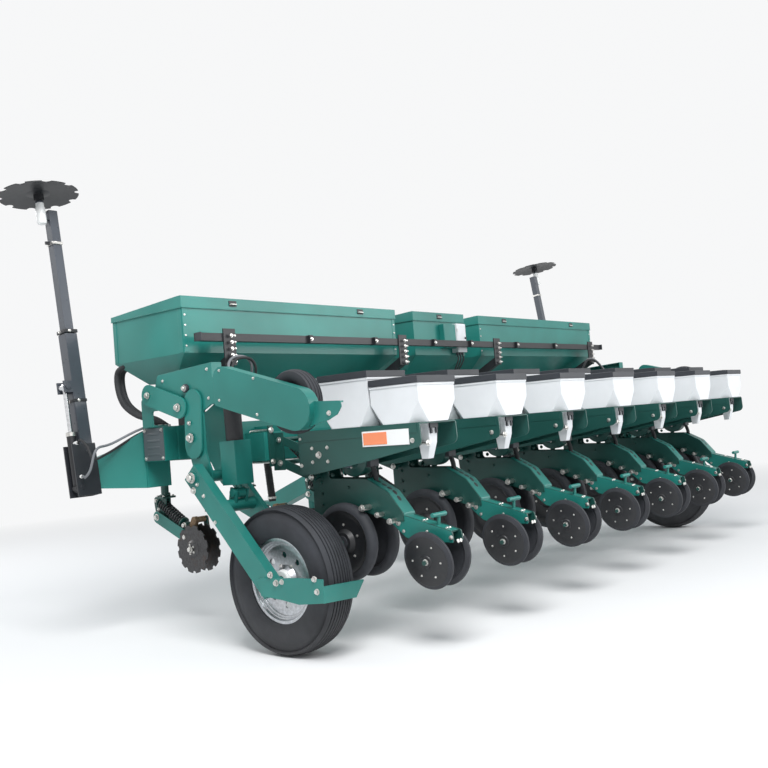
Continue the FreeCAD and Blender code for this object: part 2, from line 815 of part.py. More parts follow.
# ---- markers --------------------------------------------------------------------------
def marker_mast():
    half = mast_size / 2
    z = marker_z
    end = z + mast_length
    sleeve = box(marker_x - half, marker_x + half, marker_y - half, marker_y + half,
                 z - 36, z + mast_sleeve_length)
    inside = half - mast_wall
    sleeve = sleeve.cut(box(marker_x - inside, marker_x + inside, marker_y - inside, marker_y + inside,
                            z - 30, z + mast_sleeve_length + 1))
    inner = mast_inner / 2
    tube = box(marker_x - inner, marker_x + inner, marker_y - inner, marker_y + inner,
               z + mast_sleeve_length - 160, end)
    collar = box(marker_x - half, marker_x + half, marker_y - half, marker_y + half,
                 z + mast_sleeve_length - 12, z + mast_sleeve_length + 6)
    lug_z = z + mast_lug_z
    pin_x = marker_x + marker_pin_x
    lug = box(marker_x + half - 8, pin_x + 26, marker_y + 31, marker_y + half, lug_z - 34, lug_z + 34)
    head = bar((pin_x, marker_y + half - 1, lug_z), (pin_x, marker_y + half + 8, lug_z), 16)
    lugs = [lug, head, moved(lug, 0, -half - 31), moved(head, 0, -2 * half - 7)]
    spindle_top = end + disc_rise + marker_disc_t + 30
    hub_x = marker_x + spindle_x
    spindle = bar((hub_x, marker_y, end - 50), (hub_x, marker_y, spindle_top), 14)
    hub = bar((hub_x, marker_y, end - 50), (hub_x, marker_y, end + 54), 24)
    arm = box(marker_x + 10, marker_x + spindle_x, marker_y - 18, marker_y + 18, end - 60, end - 14)
    mast = fuse([sleeve, tube, collar, spindle, hub, arm] + lugs)
    bore = bar((marker_x, marker_y - 60, z), (marker_x, marker_y + 60, z), 14 + pin_gap)
    return mirrored(lean(mast.cut(bore)))


def marker_disc():
    centre = V(marker_x + spindle_x, marker_y, marker_z + mast_length + disc_rise)
    low = -disc_rise + 60
    profile = [
        (marker_disc_r, 0), (marker_disc_r, marker_disc_t), (70, marker_disc_t + 18),
        (14 + pin_gap, marker_disc_t + 18), (14 + pin_gap, low), (30, low), (30, 6), (70, 12)]
    disc = Part.Face(outline(profile, in_xz)).revolve(V(0, 0, 0), V(0, 0, 1), 360).translated(centre)
    notches = []
    for i in range(10):
        notch = Part.makeCylinder(26, 90, centre + V(marker_disc_r, 0, -40))
        notches.append(turned_about(notch, tuple(centre), (0, 0, 1), 36 * i))
    return mirrored(lean(cut(disc, notches)))


# The barrel closes over the rod as the mast folds; the rod's eye is left open at its pin.
def marker_strokes():
    angle = math.radians(marker_fold)
    pin = V(marker_pin_x, 0, mast_lug_z)
    cosine, sine = math.cos(angle), math.sin(angle)
    folded = V(pin.x * cosine + pin.z * sine, 0, pin.z * cosine - pin.x * sine)
    foot = V(marker_pin_x, 0, -marker_pin_drop)
    reach = folded - foot
    swing = math.degrees(math.atan2(reach.x, reach.z))
    return (pin - foot).Length, reach.Length, swing


def marker_cylinder():
    closed_length = marker_strokes()[1]
    pin_x = marker_x + marker_pin_x
    z0 = marker_z - marker_pin_drop
    mouth = z0 + closed_length - 24
    barrel = bar((pin_x, marker_y, z0 + 16), (pin_x, marker_y, mouth), 26)
    eye = bar((pin_x, marker_y - 22, z0), (pin_x, marker_y + 22, z0), 24)
    bore = bar((pin_x, marker_y, z0 + 46), (pin_x, marker_y, mouth + 10), 13 + pin_gap)
    pin = bar((pin_x, marker_y - 60, z0), (pin_x, marker_y + 60, z0), 12 + pin_gap)
    return mirrored(lean(cut(fuse([barrel, eye]), [bore, pin])))


def marker_rod():
    closed_length = marker_strokes()[1]
    pin_x = marker_x + marker_pin_x
    z1 = marker_z + mast_lug_z
    rod = bar((pin_x, marker_y, z1 - closed_length + 54), (pin_x, marker_y, z1), 13)
    eye = bar((pin_x, marker_y - 26, z1), (pin_x, marker_y + 26, z1), 22)
    return mirrored(lean(fuse([rod, eye])))


# ---- row units ------------------------------------------------------------------------
def row_frame():
    top = hopper_seat_z - seat_gap
    pieces = []
    carrier = [
        (-950, top), (-1790, top, 14), (-1795, 1030, 40), (-1400, 962, 60), (-1060, 912, 30), (-950, 912)]
    for x in (-row_plate_x - row_plate_t, row_plate_x):
        pieces.append(plate(carrier, x, x + row_plate_t))
    for y0, y1 in ((rear_hopper_rear + 14, rear_hopper_rear + 42),
                   (hopper_split_y - 45, hopper_split_y + 45),
                   (front_hopper_front - 70, front_hopper_front - 20)):
        pieces.append(box(-row_plate_x, row_plate_x, y0, y1, top - row_plate_t, top))
    pieces.append(box(-row_plate_x - 1, row_plate_x + 1, -960, -950, 912, top - 20))
    shank = [
        (-935, 1040), (-1060, 1040, 20), (-1060, 880, 20), (-1330, 872, 60), (-1470, 800, 80),
        (-1560, 690, 40), (-1560, 650), (-1480, 650, 30), (-1300, 700, 60), (-1200, 660, 20),
        (seed_disc_y - 40, seed_disc_z - 26, 16), (seed_disc_y + 40, seed_disc_z - 26, 16),
        (-1040, 650, 20), (-935, 640)]
    for x in (-shank_half - 8, shank_half):
        pieces.append(plate(shank, x, x + 8))
    pieces.append(quadrant(shank))
    pieces.append(box(-shank_half, shank_half, -960, -935, 780, 1040))
    pieces.append(across(-shank_half - 2, shank_half + 2, seed_disc_y, seed_disc_z, 12))
    pieces.append(box(-row_plate_x, row_plate_x, -1000, -960, 1000, 1040))
    pieces += press_arm() + seed_meter(top)
    for y, z in ((link_rear_y, link_top_z - link_drop), (link_rear_y, link_top_z - link_drop - link_gap_z)):
        pieces.append(across(-link_x - link_t / 2 - 10, link_x + link_t / 2 + 10, y, z, 13))
    for x in (-link_x, link_x):
        for drop in (0, link_gap_z):
            z = link_top_z - drop
            pieces.append(link((link_front_y, z), (link_rear_y, z - link_drop), link_depth / 2,
                               x - link_t / 2, x + link_t / 2))
    clamp_face = rear_bar_y - rear_bar_size / 2
    for y, z in ((link_front_y, link_top_z), (link_front_y, link_top_z - link_gap_z)):
        pieces.append(across(-link_x - link_t / 2 - 10, link_x + link_t / 2 + 10, y, z, 13))
    for x in (-link_x - link_t / 2 - 8, link_x + link_t / 2):
        pieces.append(box(x, x + 8, link_front_y - 30, clamp_face,
                          link_top_z - link_gap_z - 40, link_top_z + 40))
    arm = link((gauge_y, gauge_z), (gauge_y + 20, 700), 22, shank_half - 12, shank_half)
    stub = across(shank_half - 12, gauge_x + gauge_width / 2 + 16, gauge_y, gauge_z, 14)
    pieces += [arm, stub, mirrored(arm), mirrored(stub)]
    return fuse(pieces)


# The meter's drum hangs below the front hopper, on the shaft that drives all the meters.
def seed_meter(top):
    neck_y = (front_hopper_front - 70, front_hopper_front - 20)
    drum = turned([
        (-meter_half, drive_shaft_r), (-meter_half, meter_r * 0.62), (-meter_half + 16, meter_r),
        (meter_half - 24, meter_r), (meter_half - 10, meter_r * 0.7), (meter_half, meter_r * 0.66),
        (meter_half, drive_shaft_r)], 0, meter_y, meter_z)
    neck = box(-shank_half, shank_half, neck_y[0], neck_y[1], meter_z, top - row_plate_t)
    shaft = across(-row_plate_x - 1, row_plate_x + 1, meter_y, meter_z, drive_shaft_r)
    mouth = (0, meter_y + 40, seed_disc_z + seed_disc_r + 10)
    tube = bar((0, meter_y + 20, meter_z - meter_r + 10), mouth, seed_tube_r)
    return [drum, neck, shaft, tube]


# The curved strip between the shank's plates, with the slots that set the planting depth.
def quadrant(shank):
    solid = plate(shank, -shank_half - 1, shank_half + 1)
    strip = solid.common(box(-shank_half - 1, shank_half + 1, -1562, -1340, 690, 872))
    strip = strip.cut(moved(plate(shank, -shank_half - 2, shank_half + 2), 0, quadrant_t, -quadrant_t))
    slots = []
    for y, z in ((-1404, 838), (-1446, 814), (-1487, 780), (-1518, 742)):
        for shift in (-7, 7):
            middle = V(0, y + shift, z + shift * 0.8)
            slots.append(bar(middle - V(0, -30, 30), middle + V(0, -30, 30), slot_r))
    return cut(strip, slots)


def press_arm():
    pieces = []
    side = [
        (-1470, 704, 10), (-1850, 602, 12), (-1858, 545, 14), (-1640, 546, 30),
        (-1560, 566, 30), (-1474, 640, 12)]
    for x in (-shank_half, shank_half - 8):
        pieces.append(plate(side, x, x + 8))
    pieces.append(beam((-1500, 688), (-1836, 598), 8, -36, 36))
    pieces.append(bar((0, handle_y + 8, 600), (0, handle_y, handle_z), 8))
    pieces.append(across(-55, 55, handle_y, handle_z, 11))
    for side in (-1, 1):
        tilt = math.radians(press_tilt)
        axle = V(side * math.cos(tilt), 0, -math.sin(tilt))
        hub = V(side * press_x, press_y, press_z)
        pieces.append(Part.makeCylinder(11, press_width + 60, hub - axle * (press_width / 2 + 34), axle))
        drop = box(-5, 5, -22, 22, 0, 150)
        drop = moved(drop, side * 38, press_y, press_z - 12)
        pieces.append(drop)
    return pieces


def corner_cut(x, y, side, end):
    low = hopper_seat_z
    points = [
        V(x, y, low + hopper_corner_rise), V(x - side * hopper_corner, y, low),
        V(x, y - end * hopper_corner, low), V(x, y, low)]
    faces = []
    for skip in range(4):
        corners = [point for i, point in enumerate(points) if i != skip]
        faces.append(Part.Face(Part.makePolygon(corners + corners[:1])))
    return Part.Solid(Part.Shell(faces))


# A moulded hopper whose four lower corners are cut off.
def seed_hopper(y0, y1, top):
    def form(inset, z1):
        half = hopper_half - inset
        shape = box(-half, half, y0 + inset, y1 - inset, hopper_seat_z + inset, z1)
        corners = []
        for side in (-1, 1):
            for end, y in ((-1, y0 + inset), (1, y1 - inset)):
                corners.append(corner_cut(side * half, y, side, end))
        return cut(shape, corners)

    lid_line = top - lid_depth
    return form(0, lid_line).cut(form(hopper_wall, lid_line + 20))


# The spout behind each carrier narrows towards its mouth.
def chute():
    def section(half, y, reach, z):
        corners = [V(-half, y, z), V(half, y, z), V(half, y + reach, z), V(-half, y + reach, z)]
        return Part.makePolygon(corners + corners[:1])

    top = hopper_seat_z - seat_gap
    low = top - chute_drop
    waist = section(30, chute_y - 40, 70, low + 80)
    upper = Part.makeLoft([section(40, chute_y - 44, 84, top), waist], True, True)
    lower = Part.makeLoft([waist, section(22, chute_y - 16, 40, low)], True, True)
    return fuse([upper, lower])


def seed_hoppers():
    rear = seed_hopper(rear_hopper_rear + 6, hopper_split_y - 6, rear_lid_z)
    front = seed_hopper(hopper_split_y + 6, front_hopper_front - 6, front_lid_z)
    return on_rows(rear) + on_rows(front) + on_rows(chute())


def hopper_lid(y0, y1, top):
    half = hopper_half + 6
    low = top - lid_depth + seat_gap
    outer = box(-half, half, y0, y1, low, top)
    inner = box(-half + 9, half - 9, y0 + 9, y1 - 6, low - 1, top - 4)
    return outer.cut(inner)


def hopper_lids(which, y0, y1, top):
    y, z = hopper_hinge(which)
    pin = across(-70, 70, y, z, lid_pin_r)
    return on_rows(fuse([hopper_lid(y0, y1, top), pin]))


def hopper_hinge(which):
    if which == "rear":
        return (hopper_split_y - 7, rear_lid_z - 4)
    return (front_hopper_front - 3, front_lid_z - 8)


def press_wheel(side):
    half = press_width / 2
    profile = [
        (-half, 20), (-half * 0.5, 26), (-half * 0.5, press_r * 0.78), (-half, press_r * 0.84),
        (-half * 0.4, press_r), (half * 0.4, press_r), (half, press_r * 0.84), (half * 0.6, press_r * 0.78),
        (half * 0.6, 34), (half + 4, 30), (half + 4, 11 + pin_gap), (-half, 11 + pin_gap)]
    wheel = turned(profile, 0, 0, 0)
    if side < 0:
        wheel = mirrored(wheel)
    wheel = turned_about(wheel, (0, 0, 0), (0, 1, 0), side * press_tilt)
    return moved(wheel, side * press_x, press_y, press_z)


def gauge_wheels():
    half = gauge_width / 2
    profile = [
        (-half, 26), (-half * 0.2, 40), (-half * 0.2, gauge_r * 0.74), (-half, gauge_r * 0.8),
        (-half, gauge_r, half * 0.9), (half, gauge_r, half * 0.9), (half, gauge_r * 0.8),
        (half * 0.1, gauge_r * 0.74), (half * 0.1, 44), (half + 4, 34), (half + 4, 14 + pin_gap),
        (-half, 14 + pin_gap)]
    right = turned(profile, gauge_x, gauge_y, gauge_z)
    return [right, mirrored(right)]


def seed_discs():
    profile = [
        (-9, 12 + pin_gap), (-9, 40), (-3, seed_disc_r), (3, seed_disc_r), (9, 40), (9, 12 + pin_gap)]
    return [turned(profile, x, seed_disc_y, seed_disc_z) for x in rows]


# ---- fertiliser openers -----------------------------------------------------------------
def fertiliser_opener():
    under = bar_z - bar_size / 2
    half = fert_disc_x - 10
    pieces = [Part.makeCylinder(fert_post_r, under - fert_post_low + 20, V(0, fert_post_y, fert_post_low))]
    pieces.append(box(-45, 45, bar_size / 2, fert_post_y + 35, under - 12, under + 60))
    pieces.append(box(-50, 50, fert_post_y - 45, fert_post_y + 40, fert_post_low, fert_post_low + 12))
    hanger = [
        (fert_post_y - 30, fert_post_low + 40, 10), (strut_top_y + 24, strut_top_z + 18, 20),
        (strut_top_y + 24, strut_top_z - 24, 20), (fert_link_y + 26, fert_link_z - 24, 24),
        (fert_link_y - 30, fert_link_z - 24, 24), (fert_post_y - 30, fert_post_low - 40, 20)]
    pieces.append(plate(hanger, -20, -10))
    pieces.append(plate(hanger, 10, 20))
    arm = link((fert_link_y, fert_link_z), (fert_pin_y, fert_pin_z), fert_link_r, half - 12, half)
    pieces += [arm, mirrored(arm)]
    for y, z in ((fert_link_y, fert_link_z), (fert_pin_y, fert_pin_z)):
        pieces.append(across(-half - 1.5, half + 1.5, y, z, 13))
    pieces += disc_holder() + spring_strut()
    return fuse(pieces)


# The casting between an opener's discs, and the arm that passes over one of them to its axle.
def disc_holder():
    pin = (fert_pin_y, fert_pin_z)
    axle = (fert_disc_y, fert_disc_z)
    outer = fert_disc_x + 30
    pieces = [link(pin, axle, 24, -12, 12)]
    bridge = (fert_pin_y - 60, fert_pin_z + 102)
    pieces.append(link(pin, bridge, 20, -12, 12))
    pieces.append(across(-12, outer + 12, bridge[0], bridge[1], 16))
    pieces.append(link(bridge, axle, 18, outer, outer + 12))
    pieces.append(across(-fert_disc_x - 20, outer + 18, axle[0], axle[1], 14))
    return pieces


def spring_strut():
    top = V(0, strut_top_y, strut_top_z)
    low = V(0, strut_low_y, strut_low_z)
    run = low - top
    along = V(run).normalize()
    pieces = [bar(tuple(top), tuple(low), strut_r)]
    for share in (0.08, 0.90):
        middle = top + run * share
        pieces.append(bar(tuple(middle - along * 5), tuple(middle + along * 5), strut_collar_r))
    pieces.append(across(-22, 22, strut_top_y, strut_top_z, 16))
    pieces.append(across(-18, 18, strut_low_y, strut_low_z, 22))
    pieces.append(link((strut_low_y, strut_low_z), (fert_pin_y, fert_pin_z), 16, -10, 10))
    return pieces


def fertiliser_discs():
    profile = [(-8, 14 + pin_gap), (-8, 40), (-3, 56), (-3, fert_disc_r), (3, fert_disc_r), (3, 56), (14, 42),
               (14, 14 + pin_gap)]
    disc = turned(profile, fert_disc_x, fert_disc_y, fert_disc_z)
    notches = []
    for i in range(fert_notches):
        notch = across(fert_disc_x - 20, fert_disc_x + 20, fert_disc_y + fert_disc_r + 2, fert_disc_z, 17)
        notches.append(turned_about(notch, (0, fert_disc_y, fert_disc_z), (1, 0, 0), 360 / fert_notches * i))
    right = cut(disc, notches)
    return on_rows(right) + on_rows(mirrored(right))


# ---- hoses and control box ----------------------------------------------------------------
def hose_run(points, radius):
    pieces = []
    for a, b in zip(points, points[1:]):
        pieces.append(bar(a, b, radius))
    for p in points[1:-1]:
        pieces.append(Part.makeSphere(radius * 1.04, V(*p)))
    return fuse(pieces)


def fertiliser_hose(x):
    side = 1 if abs(x) < 2.5 * row_pitch else -1
    x = x + (hose_offset * side if x >= 0 else -hose_offset * side)
    outlet = box_floor_half - 20
    front = bar_size / 2 + 60
    top = (x, outlet, box_floor_z - seat_gap)
    shoulder = (bar_z + bar_size / 2 + box_floor_z) / 2
    return hose_run([
        top, (x, outlet, shoulder + 30), (x, front, shoulder - 120), (x, front, hose_knee_z),
        (x, fert_disc_y - 30, hose_low_z)], hose_r)


def control_box():
    return box(control_x - control_half, control_x + control_half, box_rear_y - control_depth,
               box_rear_y - seat_gap, box_fold_z + 20, box_rim_z - rim_fold - 11)


# ---- all pieces -----------------------------------------------------------------------------
os.makedirs("parts", exist_ok=True)
keep("main_frame", main_frame())
keep("drawbar", drawbar())
keep("jack_leg", jack_leg())
keep("box_frame", box_frame())
keep("fertiliser_boxes", fertiliser_boxes())
for name, (x0, x1) in box_spans().items():
    keep("box_lid_" + name, box_lid(x0, x1))
left_end = end_frame()
keep("end_frames", [left_end, mirrored(left_end)])
left_case = chain_case()
keep("chain_cases", [left_case, mirrored(left_case)])
keep_pair("wheel_arm", wheel_arm())
keep_pair("tyre", tyre())
keep_pair("rim", rim())
keep_pair("lift_cylinder", lift_barrel())
keep_pair("lift_rod", lift_rod())
keep_pair("contact_wheel", contact_wheel())
keep_pair("marker_mast", marker_mast())
keep_pair("marker_disc", marker_disc())
keep_pair("marker_cylinder", marker_cylinder())
keep_pair("marker_rod", marker_rod())
keep("row_frames", on_rows(row_frame()))
keep("seed_hoppers", seed_hoppers())
keep("rear_hopper_lids", hopper_lids("rear", rear_hopper_rear, hopper_split_y - 3, rear_lid_z))
keep("front_hopper_lids", hopper_lids("front", hopper_split_y + 3, front_hopper_front, front_lid_z))
keep("seed_discs", seed_discs())
for n, x in enumerate(rows):
    keep("gauge_wheels_" + str(n + 1), [moved(wheel, x) for wheel in gauge_wheels()])
    keep("press_wheel_left_" + str(n + 1), moved(press_wheel(-1), x))
    keep("press_wheel_right_" + str(n + 1), moved(press_wheel(1), x))
keep("fertiliser_openers", on_rows(fertiliser_opener()))
keep("fertiliser_discs", fertiliser_discs())
keep("fertiliser_hoses", [fertiliser_hose(x) for x in rows])
keep("control_box", control_box())

whole = Part.makeCompound([shape for _, _, shape in nodes])
bounds = whole.BoundBox
print("nodes", len(nodes), "size", [round(v) for v in (bounds.XLength, bounds.YLength, bounds.ZLength)])
print("low", [round(v) for v in (bounds.XMin, bounds.YMin, bounds.ZMin)],
      "high", [round(v) for v in (bounds.XMax, bounds.YMax, bounds.ZMax)])
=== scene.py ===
import json
import math
import bmesh
import bpy
from mathutils import Matrix, Vector


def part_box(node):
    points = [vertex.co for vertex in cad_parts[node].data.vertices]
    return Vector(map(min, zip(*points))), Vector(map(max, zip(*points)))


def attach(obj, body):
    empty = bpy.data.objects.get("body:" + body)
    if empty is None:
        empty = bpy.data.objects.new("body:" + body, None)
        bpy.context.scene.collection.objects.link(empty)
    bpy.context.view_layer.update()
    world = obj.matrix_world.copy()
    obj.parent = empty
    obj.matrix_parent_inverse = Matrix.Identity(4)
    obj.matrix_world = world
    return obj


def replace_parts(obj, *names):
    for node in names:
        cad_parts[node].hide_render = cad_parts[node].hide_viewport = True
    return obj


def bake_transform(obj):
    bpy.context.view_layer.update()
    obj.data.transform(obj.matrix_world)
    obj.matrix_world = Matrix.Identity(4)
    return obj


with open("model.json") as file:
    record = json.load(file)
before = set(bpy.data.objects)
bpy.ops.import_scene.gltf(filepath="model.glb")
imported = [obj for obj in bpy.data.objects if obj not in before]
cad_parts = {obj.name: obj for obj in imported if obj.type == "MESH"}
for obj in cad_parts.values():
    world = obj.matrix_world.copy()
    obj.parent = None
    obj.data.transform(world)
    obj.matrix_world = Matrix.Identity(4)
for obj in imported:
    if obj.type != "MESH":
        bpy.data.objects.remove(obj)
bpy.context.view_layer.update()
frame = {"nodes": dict(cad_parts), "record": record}        # bodies, nodes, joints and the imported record
joints = {joint["name"]: joint for joint in frame["record"]["behaviour"]["joints"]}
slotOf = {part["node"]: part["material_slot"] for part in frame["record"]["subparts"]}
sides = {"left": -1, "right": 1}
print("frame loaded", len(frame["nodes"]), "nodes")


def low(node):
    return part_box(node)[0]


def high(node):
    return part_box(node)[1]


def middle(node):
    return (low(node) + high(node)) / 2


def pivot(name):
    return Vector(joints[name]["pos_m"])


rowX = [middle("gauge_wheels_" + str(n)).x for n in range(1, 8)]


# A socket that Python's own operators work on.
class Wire:
    def __init__(self, tree, socket):
        self.tree = tree
        self.socket = socket

    def maths(self, kind, first, second=None, clamp=False):
        node = self.tree.nodes.new("ShaderNodeMath")
        node.operation = kind
        node.use_clamp = clamp
        for slot, value in zip(node.inputs, (first, second)):
            if isinstance(value, Wire):
                self.tree.links.new(value.socket, slot)
            elif value is not None:
                slot.default_value = value
        return Wire(self.tree, node.outputs[0])

    def __add__(self, other):
        return self.maths("ADD", self, other)

    def __radd__(self, other):
        return self.maths("ADD", other, self)

    def __sub__(self, other):
        return self.maths("SUBTRACT", self, other)

    def __rsub__(self, other):
        return self.maths("SUBTRACT", other, self)

    def __mul__(self, other):
        return self.maths("MULTIPLY", self, other)

    def __rmul__(self, other):
        return self.maths("MULTIPLY", other, self)

    def above(self, other):
        return self.maths("GREATER_THAN", self, other)

    def held(self):
        return self.maths("ADD", self, 0.0, clamp=True)


# A material under construction.
class Finish:
    def __init__(self, name):
        self.material = bpy.data.materials.new(name)
        self.material.use_nodes = True
        self.tree = self.material.node_tree
        self.tree.nodes.clear()
        self.place = self.node("ShaderNodeTexCoord", {}, {}, "Object")

    def node(self, kind, settings, sockets, output=0):
        node = self.tree.nodes.new(kind)
        for key, value in settings.items():
            if key == "stops":
                ramp = node.color_ramp
                while len(ramp.elements) < len(value):
                    ramp.elements.new(0.5)
                for element, (spot, shade) in zip(ramp.elements, value):
                    element.position = spot
                    element.color = (shade, shade, shade, 1)
            else:
                setattr(node, key, value)
        for key, value in sockets.items():
            slot = node.inputs[key]
            if isinstance(value, Wire):
                self.tree.links.new(value.socket, slot)
            else:
                slot.default_value = value
        return Wire(self.tree, node.outputs[output])

    def noise(self, scale, detail=4.0, roughness=0.55, stretch=None):
        place = self.place
        if stretch:
            place = self.node("ShaderNodeMapping", {}, {"Vector": place, "Scale": stretch})
        sockets = {"Vector": place, "Scale": scale, "Detail": detail, "Roughness": roughness}
        return self.node("ShaderNodeTexNoise", {}, sockets, "Fac")

    def ramp(self, value, stops):
        return self.node("ShaderNodeValToRGB", {"stops": stops}, {"Fac": value})

    def blend(self, amount, first, second):
        settings = {"data_type": "RGBA"}
        return self.node("ShaderNodeMix", settings, {"Factor": amount, 6: first, 7: second}, 2)

    def upward(self):
        normal = self.node("ShaderNodeNewGeometry", {}, {}, "Normal")
        return self.node("ShaderNodeSeparateXYZ", {}, {"Vector": normal}, "Z")

    def height(self):
        return self.node("ShaderNodeSeparateXYZ", {}, {"Vector": self.place}, "Z")

    def rounded(self, radius):
        return self.node("ShaderNodeBevel", {"samples": 4}, {"Radius": radius})

    def bump(self, value, strength, distance, normal=None):
        sockets = {"Height": value, "Strength": strength, "Distance": distance}
        if normal:
            sockets["Normal"] = normal
        return self.node("ShaderNodeBump", {}, sockets)

    def shade(self, colour, roughness, metallic=0.0, normal=None, coat=0.0, coatRough=0.1):
        shader = self.tree.nodes.new("ShaderNodeBsdfPrincipled")
        values = {"Base Color": colour, "Roughness": roughness, "Metallic": metallic}
        values["Coat Weight"] = coat
        values["Coat Roughness"] = coatRough
        if normal:
            values["Normal"] = normal
        for key, value in values.items():
            if isinstance(value, Wire):
                self.tree.links.new(value.socket, shader.inputs[key])
            else:
                shader.inputs[key].default_value = value
        end = self.tree.nodes.new("ShaderNodeOutputMaterial")
        self.tree.links.new(shader.outputs[0], end.inputs[0])
        return self.material


dust = (0.30, 0.27, 0.22, 1)


# Sprayed enamel: a little orange peel, slow fading and a film of dust low down and on top.
# Beyond a distance from the middle, the end of a welded piece may have another colour.
def enamel(name, colour, roughness=0.36, coat=0.10, dustiness=0.12, edge=0.0025, tip=None):
    finish = Finish(name)
    slow = finish.noise(1.4, 3.0)
    fine = finish.noise(38.0, 5.0)
    pale = tuple(min(1, value * 1.28 + 0.006) for value in colour[:3]) + (1,)
    deep = tuple(value * 0.80 for value in colour[:3]) + (1,)
    paint = finish.blend(finish.ramp(slow, [(0.30, 0), (0.70, 1)]), deep, pale)
    if tip:
        across = finish.node("ShaderNodeSeparateXYZ", {}, {"Vector": finish.place}, "X")
        paint = finish.blend(across.maths("ABSOLUTE", across).above(tip[0]), paint, tip[1])
    lower = (0.75 - finish.height()).held()
    lying = (finish.upward() - 0.35).held()
    film = ((lower * 0.5 + lying * 0.35) * finish.ramp(fine, [(0.35, 0), (0.75, 1)]) * dustiness).held()
    paint = finish.blend(film, paint, dust)
    peel = finish.bump(finish.noise(420.0, 2.0), 0.05, 0.001, finish.rounded(edge))
    rough = roughness + fine * 0.10 + film * 0.5
    return finish.shade(paint, rough, 0.0, peel, coat)


def rubber(name, colour, dustiness=0.35):
    finish = Finish(name)
    cloudy = finish.noise(9.0, 5.0)
    grain = finish.noise(160.0, 3.0)
    dark = colour + (1,)
    worn = tuple(value * 1.6 + 0.004 for value in colour) + (1,)
    tone = finish.blend(finish.ramp(cloudy, [(0.35, 0), (0.72, 1)]), dark, worn)
    lower = (0.45 - finish.height()).held()
    tone = finish.blend((lower * dustiness * cloudy * 1.6).held(), tone, dust)
    skin = finish.bump(grain, 0.18, 0.001, finish.rounded(0.002))
    return finish.shade(tone, 0.62 + cloudy * 0.22, 0.0, skin)


def plastic(name, colour, roughness, grainSize=260.0, stain=0.12, edge=0.004):
    finish = Finish(name)
    cloudy = finish.noise(3.2, 4.0)
    grain = finish.noise(grainSize, 2.0)
    base = colour + (1,)
    dull = tuple(value * (1 - stain) for value in colour) + (1,)
    tone = finish.blend(finish.ramp(cloudy, [(0.30, 0), (0.75, 1)]), base, dull)
    skin = finish.bump(grain, 0.10, 0.001, finish.rounded(edge))
    return finish.shade(tone, roughness + cloudy * 0.14, 0.0, skin)


def metal(name, colour, roughness, brushed=(1, 1, 1), rust=0.0):
    finish = Finish(name)
    streak = finish.noise(60.0, 5.0, 0.6, brushed)
    cloudy = finish.noise(7.0, 4.0)
    base = colour + (1,)
    dull = tuple(value * 0.62 for value in colour) + (1,)
    tone = finish.blend(finish.ramp(streak, [(0.30, 0), (0.70, 1)]), base, dull)
    spots = finish.ramp(cloudy * 0.7 + streak * 0.3, [(0.55, 0), (0.66, 1)]) * rust
    tone = finish.blend(spots, tone, (0.16, 0.075, 0.035, 1))
    return finish.shade(tone, roughness + streak * 0.16 + spots * 0.35, 1.0 - spots,
                        finish.bump(streak, 0.06, 0.001, finish.rounded(0.0015)))


paints = {
    "green": (0.010, 0.178, 0.152),
    # The second green is painted shade: the machine's one teal-green darkened to about a third, for the parts
    # that carry it.
    "shadedGreen": (0.005, 0.060, 0.050),
    "black": (0.011, 0.012, 0.015),
    "silver": (0.60, 0.62, 0.65),
}
finishes = {
    "green_paint": enamel("greenEnamel", paints["green"]),
    # The dark_green_paint slot takes the teal-green darkened as painted shade.
    "dark_green_paint": enamel("shadedGreenEnamel", paints["shadedGreen"], dustiness=0.22),
    "black_paint": enamel("blackEnamel", paints["black"], 0.42, 0.05, 0.15),
    "tyre_rubber": rubber("tyreRubber", (0.020, 0.022, 0.027), 0.15),
    "rim_paint": metal("silverPaint", paints["silver"], 0.26),
    "bright_steel": metal("platedRod", (0.80, 0.81, 0.83), 0.12),
    "white_plastic": plastic("whiteMoulding", (0.78, 0.80, 0.82), 0.40),
    "dark_plastic": plastic("darkMoulding", (0.034, 0.038, 0.046), 0.42),
    "disc_steel": metal("wornSteel", (0.105, 0.105, 0.108), 0.40, (1, 1, 1), 0.30),
    "black_hose": rubber("hoseRubber", (0.012, 0.012, 0.013), 0.1),
}
zinc = metal("zincPlate", (0.80, 0.79, 0.76), 0.24, (1, 1, 1), 0.10)

mastPaint = enamel("mastEnamel", (0.048, 0.056, 0.070), 0.24, 0.3, 0.25)

forkStart = high("main_frame").x + 0.2495     # the markers' forks begin here
endPaint = enamel("endEnamel", paints["green"], tip=(forkStart, (0.020, 0.022, 0.027, 1)))
ownPaint = {"lift_rod": finishes["green_paint"], "marker_mast": mastPaint, "end_frames": endPaint}

for nodeName, node in frame["nodes"].items():
    own = [paint for start, paint in ownPaint.items() if nodeName.startswith(start)]
    node.data.materials.clear()
    node.data.materials.append(own[0] if own else finishes[slotOf[nodeName]])
print("finishes made", len(finishes))


